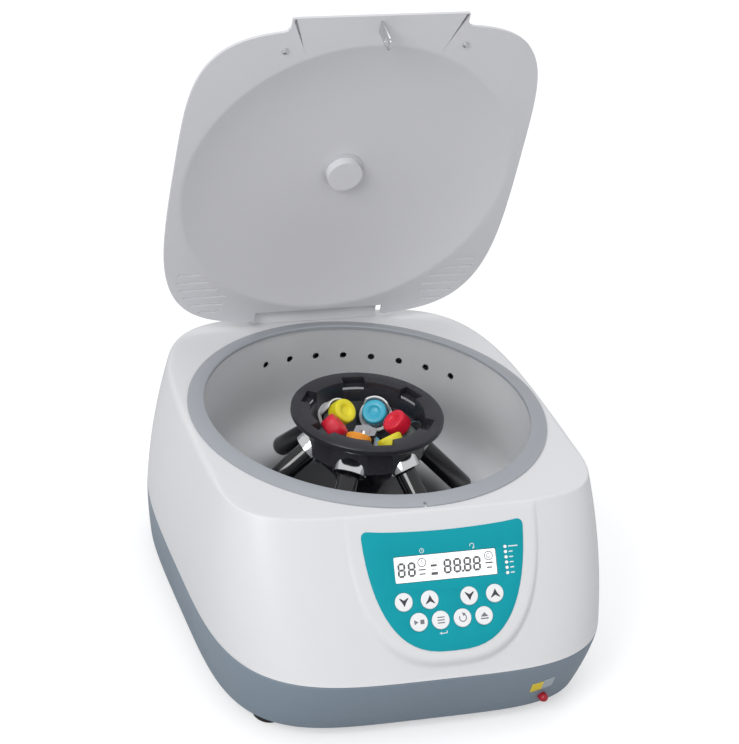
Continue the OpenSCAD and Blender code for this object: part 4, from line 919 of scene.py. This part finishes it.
# Plates on the base, bare where the photograph has small print
def plate(name, centre, normal, w, h, turn, mat):
    c, n = Vector(centre), Vector(normal).normalized()
    side = Vector((0, 0, 1)).cross(n).normalized()
    up = n.cross(side)
    q = Matrix.Rotation(math.radians(turn), 3, n)
    side, up = q @ side, q @ up
    outline = []
    for sx, sy, a0 in ((1, 1, 0), (-1, 1, 90), (-1, -1, 180), (1, -1, 270)):
        for a in (0, 30, 60, 90):
            a = math.radians(a0 + a)
            outline.append((sx * (w / 2 - 1) + math.cos(a), sy * (h / 2 - 1) + math.sin(a)))
    pts = []
    for level, inset in ((-0.5, 0), (0.12, 0), (0.2, 0.12)):
        for a, b in outline:
            k = 1 - inset / (w / 2)
            pts.append(tuple(c + side * a * k + up * b * k + n * level))
    m = len(outline)
    faces = grid_faces(3, m)
    faces.append([2 * m + i for i in range(m)])
    faces.append([i for i in range(m - 1, -1, -1)])
    return piece(name, np.array(pts), faces, mat, "housing", 25)


plate("tag_yellow", (76.2, -187.9, 30.5), (0.2, -0.9, -0.36), 9.5, 9.5, 6, TAG_YELLOW)
plate("tag_grey", (84.8, -186.4, 31.7), (0.24, -0.9, -0.36), 9.0, 10.5, 6, TAG_GREY)

# Floor, light and camera
floor_mesh = bpy.data.meshes.new("floor")
floor_mesh.from_pydata([(-30, -30, 0), (30, -30, 0), (30, 30, 0), (-30, 30, 0)], [], [(0, 1, 2, 3)])
floor = bpy.data.objects.new("floor", floor_mesh)
bpy.context.scene.collection.objects.link(floor)
floor_mat = bpy.data.materials.new("studio_floor")
floor_mat.use_nodes = True
fb = floor_mat.node_tree.nodes["Principled BSDF"]
fb.inputs["Base Color"].default_value = (0.62, 0.62, 0.63, 1)
fb.inputs["Roughness"].default_value = 0.9
fb.inputs["Specular IOR Level"].default_value = 0.1
fb.inputs["Emission Color"].default_value = (1, 1, 1, 1)
floor_nodes, floor_links = floor_mat.node_tree.nodes, floor_mat.node_tree.links
path = floor_nodes.new("ShaderNodeLightPath")
lift = floor_nodes.new("ShaderNodeMath")
lift.operation = "MULTIPLY"
lift.inputs[1].default_value = 0.52
floor_links.new(path.outputs["Is Camera Ray"], lift.inputs[0])
floor_links.new(lift.outputs["Value"], fb.inputs["Emission Strength"])
floor_mesh.materials.append(floor_mat)

world = bpy.data.worlds.new("studio")
bpy.context.scene.world = world
world.use_nodes = True
world.node_tree.nodes["Background"].inputs["Color"].default_value = (0.98, 0.99, 1.0, 1)
world.node_tree.nodes["Background"].inputs["Strength"].default_value = 0.66


def softbox(name, at, to, size, power, color=(1, 1, 1)):
    light = bpy.data.lights.new(name, "AREA")
    light.shape, light.size, light.energy, light.color = "DISK", size, power, color
    o = bpy.data.objects.new(name, light)
    bpy.context.scene.collection.objects.link(o)
    o.location = at
    o.rotation_euler = (Vector(to) - Vector(at)).to_track_quat("-Z", "Y").to_euler()
    return o


softbox("key_light", (-2.1, -1.7, 2.2), (0, 0, 0.15), 1.7, 48)
softbox("top_light", (0.3, 0.2, 3.0), (0, 0, 0.1), 2.2, 14)

YAW, PITCH, ROLL = 0.36827699836762673, 0.5143184745417964, 0.1134207949307919
cp, sp = math.cos(PITCH), math.sin(PITCH)
fwd = Vector((math.sin(YAW) * cp, math.cos(YAW) * cp, -sp))
right = Vector((math.cos(YAW), -math.sin(YAW), 0))
up = right.cross(fwd)
r2 = math.cos(ROLL) * right + math.sin(ROLL) * up
u2 = -math.sin(ROLL) * right + math.cos(ROLL) * up
camera_data = bpy.data.cameras.new("camera")
LENS = 135.18
CAMERA_AT = (-0.62751, -1.59798, 1.16400)
camera_data.lens = LENS
camera_data.sensor_width = 36.0
camera_data.clip_end = 100.0
camera = bpy.data.objects.new("camera", camera_data)
bpy.context.scene.collection.objects.link(camera)
camera.matrix_world = Matrix(((r2.x, u2.x, -fwd.x, CAMERA_AT[0]), (r2.y, u2.y, -fwd.y, CAMERA_AT[1]),
                              (r2.z, u2.z, -fwd.z, CAMERA_AT[2]), (0, 0, 0, 1)))
bpy.context.scene.camera = camera
bpy.context.scene.view_settings.view_transform = "Standard"
